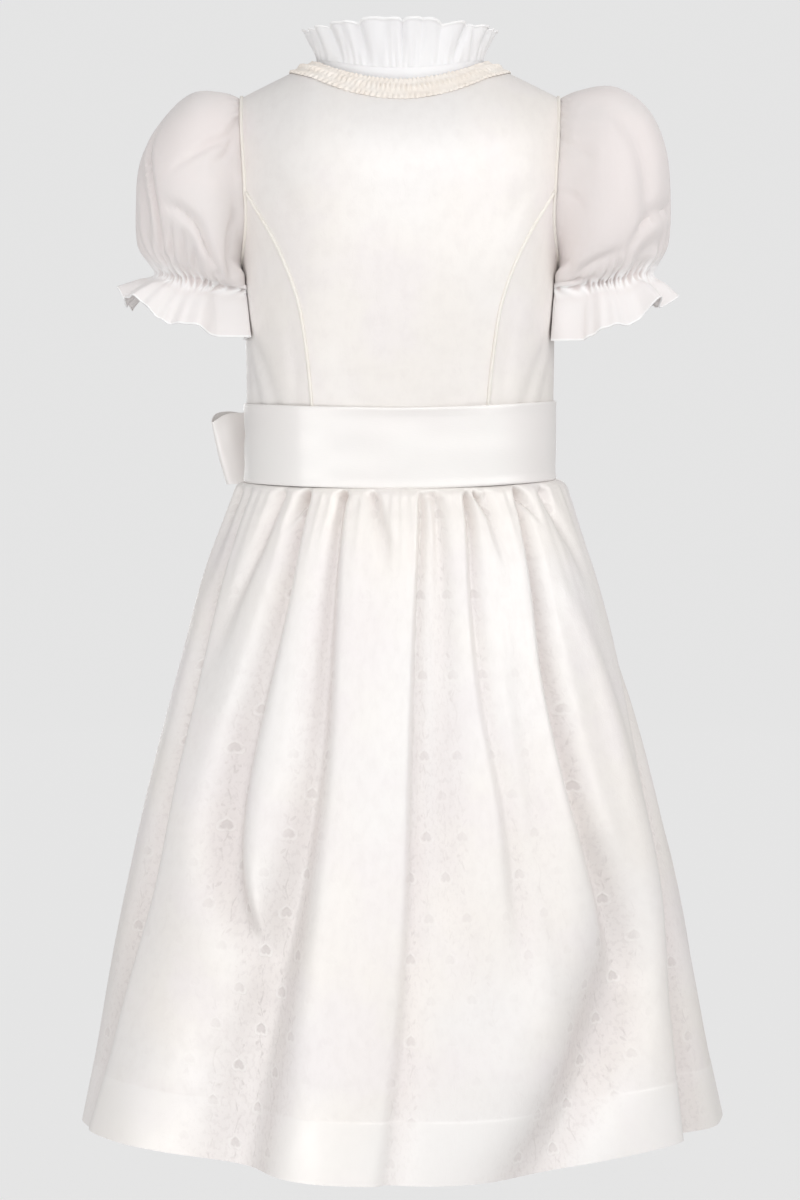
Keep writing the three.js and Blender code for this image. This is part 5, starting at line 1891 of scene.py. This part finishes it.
@dataclass
class Skirt:
    """The gathered skirt: a back and a front, joined at the side seams.

    Attributes:
        cloth_step: Flat cloth to one degree of turn, in millimetres.
        hem_depth: Depth of the turned-up hem.
        gathers: Height of the fine gathers below the sash.
        levels: Rows of height, half-width, and half-depth behind and in front.
    """

    waist: float = W
    neck_of_folds: float = -310.8
    hem: float = H
    power: float = 2.1
    cloth_step: float = 4.0
    hem_depth: float = 45
    gathers: float = 0.65
    seam: float = 0.2
    thick: float = 0.7
    levels: tuple[Row, ...] = (
        (-306, 117.2, 83.2, 85.8), (-310.4, 117.6, 83.6, 86.2), (-311, 119.2, 85.2, 87.8),
        (-311.6, 122.8, 88.8, 91.4), (-315, 127, 93, 95.4), (-322, 130, 96, 98), (-337, 136, 103, 104),
        (-374, 150, 115, 116), (-448, 171, 131, 132), (-541, 195, 149, 149), (-654, 220, 169, 168),
        (-760, 240, 183, 182), (-809, 250, 190, 188),
    )

    def __post_init__(self) -> None:
        """Lays smooth lines through the levels."""
        self.side, self.back, self.front = lines(self.levels)

    def reach(self, turn: Array, z: Array) -> Array:
        """Outer reach of the folds at a turn and height."""
        depth = np.where(faces_back(turn), self.back(z), self.front(z))
        return oval_radius(self.side(z), depth, self.power, turn)

    def folds(self, turn: Array, z: Array) -> Array:
        """How far the cloth lies inside the reach of the folds.

        Args:
            turn: Turns round the skirt.
            z: Heights.

        Returns:
            The depth at each place.
        """
        depth = sum(fold.depth(turn, z) for fold in BACK_FOLDS + SIDE_FOLDS)
        down = (self.neck_of_folds - z) / (self.neck_of_folds - self.hem)
        warp = turn + 1.4 * np.sin(turn * DEG * 11) + 0.8 * np.sin(turn * DEG * 23)
        fine = np.sin(warp * DEG * 59) * np.exp(-down * 13) * self.gathers
        fine = fine + 0.4 * np.sin(warp * DEG * 121) * np.exp(-down * 34) * self.gathers
        drift = Drift(8, (0.11, 0.011))(turn + 400, z + 900) * 1.5 * ease(down * 5)
        slow = Drift(18, (0.045, 0.004))(turn + 400, z + 900) * 1.5 * ease(down * 3)
        return (depth + fine + drift + slow) * ease((self.neck_of_folds - z) / 9)

    def at(self, turn: Array, z: Array) -> Array:
        """A point of the skirt's outer face."""
        broad = sum(fold.depth(turn, z) for fold in BROAD_FOLDS)
        return polar(self.reach(turn, z) - self.folds(turn, z) - broad, turn, z)

    def rows(self, count: int) -> Array:
        """Heights of the rows, with close ones at the waist and at both lines of the hem."""
        line = self.hem + self.hem_depth
        top = [-306, -308.5, -310.6, -311.1, -311.6, -312.2, -313.4, -315, -316.6, -318.4, -320.4, -322.6]
        body = np.linspace(-325, line + 2.4, count)
        stitched = [line + 1.1, line + 0.45, line, line - 0.45, line - 1.1]
        below = np.linspace(line - 3, self.hem + 2, 16)
        end = [self.hem + 0.9, self.hem + 0.3, self.hem]
        return np.concatenate([top, body, stitched, below, end])

    def panel(self, name: str, node: str, start: float, columns: int) -> Piece:
        """Builds one panel, half way round.

        Args:
            name: The piece's name.
            node: The solid it stands for.
            start: The turn of its first side seam.
            columns: How many columns its grid has.

        Returns:
            The dressed panel.
        """
        half_seam = self.seam / (self.reach(90, -540) * DEG)
        turn = np.linspace(start + half_seam, start + 180 - half_seam, columns)[None]
        z = self.rows(150)[:, None]
        outer = self.at(turn, z)
        fallen = self.waist - z
        outer[..., 2] += waist_tilt(turn) * np.clip(fallen / 5, 0, 1) * (1 - ease((fallen - 5) / 60))
        outer[..., 2] += HEM_RISE(np.abs(turned_between(turn, 0))) * (fallen / fallen.max()) ** 1.5
        below = ease((self.hem + self.hem_depth + 1.1 - z) / 2.2)
        edge = np.minimum(turn - turn.min(), turn.max() - turn) / 1.2
        sunk = 1.2 * (1 - ease(edge)) ** 2 * ease((self.neck_of_folds - z) / 20)
        outer = outer + grid_normals(outer, False, True) * (0.25 * below - sunk)[..., None]
        cut = joined((turn + 400) * self.cloth_step, self.neck_of_folds - z + 300)
        spread = self.reach(turn, z) * DEG / self.cloth_step
        # the mask for the brocade's painted shade: how deep each point lies in the folds
        hollow = np.clip(self.folds(turn, z) / 9, 0, 1) ** 1.5
        notes = {"spread": spread, "doubled": below, "hollow": hollow}
        cloth = Cloth(name, outer, cut, self.thick + 0.7 * below, turned=True, **notes)
        pattern = Pattern(180 * self.cloth_step, 552, Held.GATHERED, ("sash_ribbon",))
        return WARDROBE.brocade.sheet(cloth, node, pattern)

    def make(self) -> list[Piece]:
        """Builds both panels."""
        return [
            self.panel("skirt_back_cloth", "skirt_back", -90, 262),
            self.panel("skirt_front_cloth", "skirt_front", 90, 220),
        ]


# --- Sash and bow ---


@dataclass
class Sash:
    """The satin sash, tied in a bow at the wearer's front left.

    Attributes:
        top: Height of the band's upper edge.
        bottom: Height of its lower edge.
        lift: How far it lies off the bodice.
        knot_turn: The knot's turn about the waist.
        slant: How far a loop's lower edge falls short of its upper one at the tip.
        crests: Turns at which the band creases over the back's seams.
        crest_height: How far it stands out there.
        pulls: Slack pulls in the band: turn, share of its height, and lean.
        loop_rows: A loop by share of its length: how far along and out it lies, its height, its rise.
    """

    top: float = -251
    bottom: float = -311
    lift: float = 2.2
    thick: float = 0.8
    knot_turn: float = 131
    knot_z: float = -281
    knot_width: float = 27
    knot_height: float = 38
    knot_depth: float = 18
    slant: float = 14
    crests: tuple[float, ...] = (45, -41)
    crest_height: float = 2.6
    pulls: tuple[Row, ...] = ((96, 0.3, 0.16), (84, 0.62, -0.1), (158, 0.4, -0.2), (168, 0.7, 0.12))
    loop_rows: tuple[Row, ...] = (
        (0, 7, 6, 17, 0), (0.12, 19, 4.4, 27, 0), (0.27, 41, 2.5, 48, -1), (0.4, 60, 4, 54, -3.5),
        (0.5, 70, 11, 49, -7), (0.6, 62, 19, 55, -3.5), (0.73, 42, 22, 50, -1), (0.88, 19, 14, 28, 0),
        (1, 7, 11, 17, 0),
    )
    tail_top: float = -300.6
    tail_lying: float = -340
    tail_bottom: float = -600
    tail_width: float = 56

    @cached_property
    def out(self) -> Array:
        """The level direction away from the body at the knot."""
        out = FORM.outward(self.knot_turn, self.knot_z)
        out[2] = 0
        return unit(out)

    @cached_property
    def foot(self) -> Array:
        """Where the knot lies on the band."""
        return FORM.torso(self.knot_turn, self.knot_z) + self.out * 3.9

    def bow_point(self, along: Array, out: Array, up: Array) -> Array:
        """A point of the bow: along the waist towards the front, away from it, and up."""
        toward = np.array([self.out[1], -self.out[0], 0])
        along, out, up = np.broadcast_arrays(along, out, up)
        point = self.foot + along[..., None] * toward + out[..., None] * self.out
        return point + up[..., None] * np.array([0, 0, 1.0])

    def band(self) -> Piece:
        """The band round the waist, with turned edges and a few slack pulls."""
        turn = self.knot_turn + np.linspace(0, 360, 300, endpoint=False)[None]
        t = edge_shares(22, 60, (0.3, 0.8, 1.5, 2.4))[:, None]
        z = mix(self.bottom, self.top, t) + waist_tilt(turn)
        base = FORM.torso(turn, z)
        lap = np.where(base[..., 1] < 0, lap_lift(base[..., 0], 6), 0)
        slack = 0.5 * Drift(61, (0.05, 2.2))(turn, t) + 0.35 * Drift(62, (0.018, 4.5))(turn, t)
        pull = 0.0 * t
        for at_turn, at_share, lean in self.pulls:
            away = turned_between(turn, at_turn)
            pull = pull + 0.8 * bump(away / 17) * bump((t - at_share - lean * away / 17) / 0.07)
        crest = 0 * turn
        for at_turn in self.crests:
            away = np.hypot(turned_between(turn, at_turn), 1.2) / 34
            crest = crest + self.crest_height * np.maximum(1 - away, 0) ** 1.5
        edge = np.minimum(t, 1 - t) * 60
        rolled = -0.5 * (1 - ease(edge / 0.9)) + 0.22 * bump((edge - 2.0) / 1.0)
        height = self.lift + lap + crest + (slack - pull) * ease(edge / 6) + rolled
        outer = base + FORM.outward(turn, z) * height[..., None]
        cloth = Cloth("sash_ribbon", outer, ring_cut(outer, 655, 60), self.thick, closed=True)
        pattern = Pattern(655, 62, Held.STRETCHED, ("bodice_centre_back", "bodice_front_right"))
        return WARDROBE.satin.sheet(cloth, "sash_band", pattern)

    def knot(self) -> Piece:
        """The knot: the ribbon wrapped once round the bow's middle, in soft pleats."""
        s = np.linspace(0, 360, 96, endpoint=False)[None]
        t = edge_shares(26, 27, (0.3, 0.8, 1.6))[:, None]
        pleats = 0.9 * (bump((t - 0.3) / 0.07) + 0.8 * bump((t - 0.62) / 0.06))
        pleats = pleats * (1 + 0.3 * np.sin(2 * s * DEG))
        radius = oval_radius(self.knot_height / 2, self.knot_depth / 2, 2.6, s)
        rolled = 0.9 * (1 - ease(np.minimum(t, 1 - t) * 12))
        radius = radius * (1 - 0.07 * (2 * t - 1) ** 2) - pleats - rolled
        out = self.knot_depth / 2 + radius * np.cos(s * DEG)
        lean = 1.2 * np.sin(s * DEG)
        outer = self.bow_point((t - 0.5) * self.knot_width + lean, out, radius * np.sin(s * DEG))
        cloth = Cloth("bow_knot", outer, ring_cut(outer, 95, 58), 0.9, closed=True, turned=True)
        return WARDROBE.satin.sheet(cloth, "sash_knot", Pattern(95, 58, Held.FOLDED, ("sash_ribbon",)))

    def loop(self, way: int, node: str, name: str) -> Piece:
        """One loop: out from the knot, round its tip and back.

        Args:
            way: 1 for the loop towards the front, -1 for the other.
            node: The solid it stands for.
            name: The piece's name.

        Returns:
            The dressed loop.
        """
        along, out, tall, up = lines(self.loop_rows)
        s = np.linspace(0, 1, 110)[None]
        t = edge_shares(44, 60, (0.4, 1.0, 1.8))[:, None]
        near_knot = np.abs(2 * s - 1) ** 2.2
        fan = (t - 0.5) * (1 + 0.25 * near_knot * np.sin(2 * np.pi * (t + 0.2)))
        pleats = 1.1 * np.cos(2 * np.pi * 3.5 * t + way) * near_knot * ease(along(s) / 14 - 0.4)
        soft = 1.3 * Drift(70 + way, (5, 3.2))(s, t) * np.sin(np.pi * s)
        short = self.slant * ease(s * 2.5) * ease(2.5 - s * 2.5) * (1 - t)
        curl = 1.2 * np.sin(np.pi * t) * (1 - near_knot)
        place = way * (along(s) - short + curl)
        outer = self.bow_point(place, out(s) + pleats + soft, up(s) + fan * tall(s))
        cut = joined(np.linspace(0, 150, 110)[None], t * 60)
        cloth = Cloth(name, outer, cut, 0.7, turned=way > 0)
        return WARDROBE.satin.sheet(cloth, node, Pattern(165, 60, Held.FOLDED, ("bow_knot",)))

    def tail(self, node: str, name: str, turns: Row, slope: float, above: float) -> Piece:
        """One tail: from under the knot down over the skirt's folds to a slanting cut.

        Args:
            node: The solid it stands for.
            name: The piece's name.
            turns: The turn of its middle at its top and at its end.
            slope: How much higher its second corner hangs than its first.
            above: How far it lies above the folds.

        Returns:
            The dressed tail.
        """
        skirt = Skirt()
        s = edge_shares(26, 56, (0.4, 1.0, 1.8))[None]
        t = np.concatenate([np.linspace(0, 0.12, 26)[:-1], np.linspace(0.12, 1, 90)])[:, None]

        def outside(turn: Array, z: Array) -> Array:
            """How far from the middle the tail lies."""
            knot = FORM.torso(turn, self.tail_top)
            reach = np.hypot(knot[..., 0], knot[..., 1])
            level = np.minimum(z, self.tail_lying)
            drop = np.clip((self.tail_top - z) / (self.tail_top - self.tail_lying), 0, 1)
            return mix(reach, skirt.reach(turn, level), drop**0.6) + above

        z = mix(self.tail_top, self.tail_bottom + slope * (s - 0.5), t)
        wide = mix(self.knot_width * 0.8, self.tail_width, ease(t * 2.5))
        middle = mix(turns[0], turns[1], t)
        turn = middle + ((s - 0.5) * wide) / (outside(middle, z) * DEG)
        pleats = 1.2 * np.cos(2 * np.pi * 2.5 * s + above) * (1 - ease(t * 2.2))
        wave = 1.5 * np.sin(2 * np.pi * (0.8 * s + 1.4 * t) + above) * ease(t * 3)
        soft = 0.8 * Drift(int(above * 4), (3.2, 7))(s, t) * ease(t * 4)
        outer = polar(outside(turn, z) + pleats + wave + soft, turn, z)
        cloth = Cloth(name, outer, joined(t * 306, s * 60), 0.7, turned=True)
        return WARDROBE.satin.sheet(cloth, node, Pattern(60, 306, Held.HUNG, ("bow_knot",)))

    def make(self) -> list[Piece]:
        """Builds the band, the knot, both loops and both tails."""
        turn = self.knot_turn
        return [
            self.band(),
            self.knot(),
            self.loop(1, "bow_loop_front", "bow_front_loop"),
            self.loop(-1, "bow_loop_side", "bow_side_loop"),
            self.tail("sash_tail_side", "bow_side_tail", (turn - 3, 116), -22, 6),
            self.tail("sash_tail_front", "bow_front_tail", (turn + 3, 140), 22, 10.5),
        ]


# --- Studio ---


Place = tuple[float, float, float]


def aimed(name: str, data: bpy.types.ID, place: Place, aim: Place) -> Piece:
    """Puts a lamp or a camera at a place and points it at another."""
    piece = bpy.data.objects.new(name, data)
    piece.location = place
    piece.rotation_euler = (Vector(aim) - Vector(place)).to_track_quat("-Z", "Y").to_euler()
    bpy.context.scene.collection.objects.link(piece)
    return piece


@dataclass(frozen=True)
class Lamp:
    """A soft box: its place, what it points at, its size in metres and its power in watts."""

    name: str
    place: Place
    aim: Place
    size: tuple[float, float]
    power: float

    def make(self) -> Piece:
        """Hangs the lamp."""
        light = bpy.data.lights.new(self.name, "AREA")
        light.shape = "RECTANGLE"
        light.size, light.size_y = self.size
        light.energy = self.power
        lamp = aimed(self.name, light, self.place, self.aim)
        lamp.visible_camera = False
        return lamp


@dataclass
class Studio:
    """The camera behind the dress, a pale sweep and soft lamps.

    Attributes:
        eye: The camera's place, in metres.
        aim: What it looks at.
        lens: Focal length in millimetres.
        film: Width of the film in millimetres.
        floor: Height of the floor.
        wall: How far from the middle the sweep starts to rise into a wall.
        glow: Strength of the light from all round.
    """

    eye: Place = (0, 2.25, -0.235)
    aim: Place = (0, 0, -0.4)
    lens: float = 87.7
    film: float = 36
    floor: float = -1.0
    wall: float = 4.2
    glow: float = 0.51
    lamps: tuple[Lamp, ...] = (
        Lamp("key", (-0.4, 2.3, 0.65), (0, 0, -0.35), (6.4, 2.0), 54),
        Lamp("wing", (-2.2, 1.1, 0.5), (0, 0, -0.35), (0.8, 0.9), 9),
        Lamp("low", (1.2, 1.3, -0.97), (0.2, 0, -0.8), (0.8, 0.4), 6),
        Lamp("front", (0.3, -2.4, -0.4), (0, 0, -0.4), (1.6, 0.9), 15),
    )

    def camera(self) -> Piece:
        """Sets up the camera."""
        lens = bpy.data.cameras.new("camera")
        lens.lens = self.lens
        lens.sensor_width = self.film
        camera = aimed("camera", lens, self.eye, self.aim)
        bpy.context.scene.camera = camera
        return camera

    def sweep(self) -> Piece:
        """The floor, curving up into a wall on every side but overhead."""
        turn = np.linspace(0, 360, 96, endpoint=False)[None]
        bend, radius = 0.7, self.wall + 0.7
        angle = np.linspace(0, 90, 16) * DEG
        level = np.linspace(0.02, radius - bend, 8)
        reach = np.concatenate([level, radius - bend + bend * np.sin(angle[1:])])
        rise = np.concatenate([np.zeros(8), bend * (1 - np.cos(angle[1:]))])
        reach, rise = np.append(reach, radius), np.append(rise, 5.0)
        points = polar(reach[:, None] * 1000, turn, (rise[:, None] + self.floor) * 1000)
        rows, columns = points.shape[:2]
        faces = [tuple(range(columns))[::-1], *tube_faces(rows, columns)[0].tolist()]
        piece = mesh_piece("studio_sweep", points.reshape(-1, 3), faces)
        piece.data.materials.append(Backdrop().material())
        piece.visible_diffuse = piece.visible_glossy = piece.visible_shadow = False
        return piece

    def world(self) -> None:
        """Lets in soft light from all round."""
        world = bpy.data.worlds.new("studio_light")
        world.use_nodes = True
        back = world.node_tree.nodes["Background"]
        back.inputs["Color"].default_value = (1, 1, 1, 1)
        back.inputs["Strength"].default_value = self.glow
        bpy.context.scene.world = world

    def make(self) -> None:
        """Sets up everything but the dress."""
        bpy.context.scene.view_settings.view_transform = "Standard"
        unlit = bpy.data.collections.new("lit by the room alone")
        unlit.objects.link(self.sweep())
        unlit.collection_objects[0].light_linking.link_state = "EXCLUDE"
        self.world()
        for lamp in self.lamps:
            lamp.make().light_linking.receiver_collection = unlit


def main() -> None:
    """Sets up the camera, makes each part of the dress in turn and notes its size."""
    studio = Studio()
    studio.camera()
    makers = {
        "bodice": [Bodice()],
        "trims": [NeckRuching(), PipedSeams()],
        "buttons": [FrontButtons()],
        "blouse": [Collar(), *SLEEVES],
        "skirt": [Skirt()],
        "sash": [Sash()],
    }
    for name, parts in makers.items():
        pieces = sum((part.make() for part in parts), [])
        log.info("%s: %d pieces", name, len(pieces))
    studio.make()


if __name__ == "__main__":
    main()
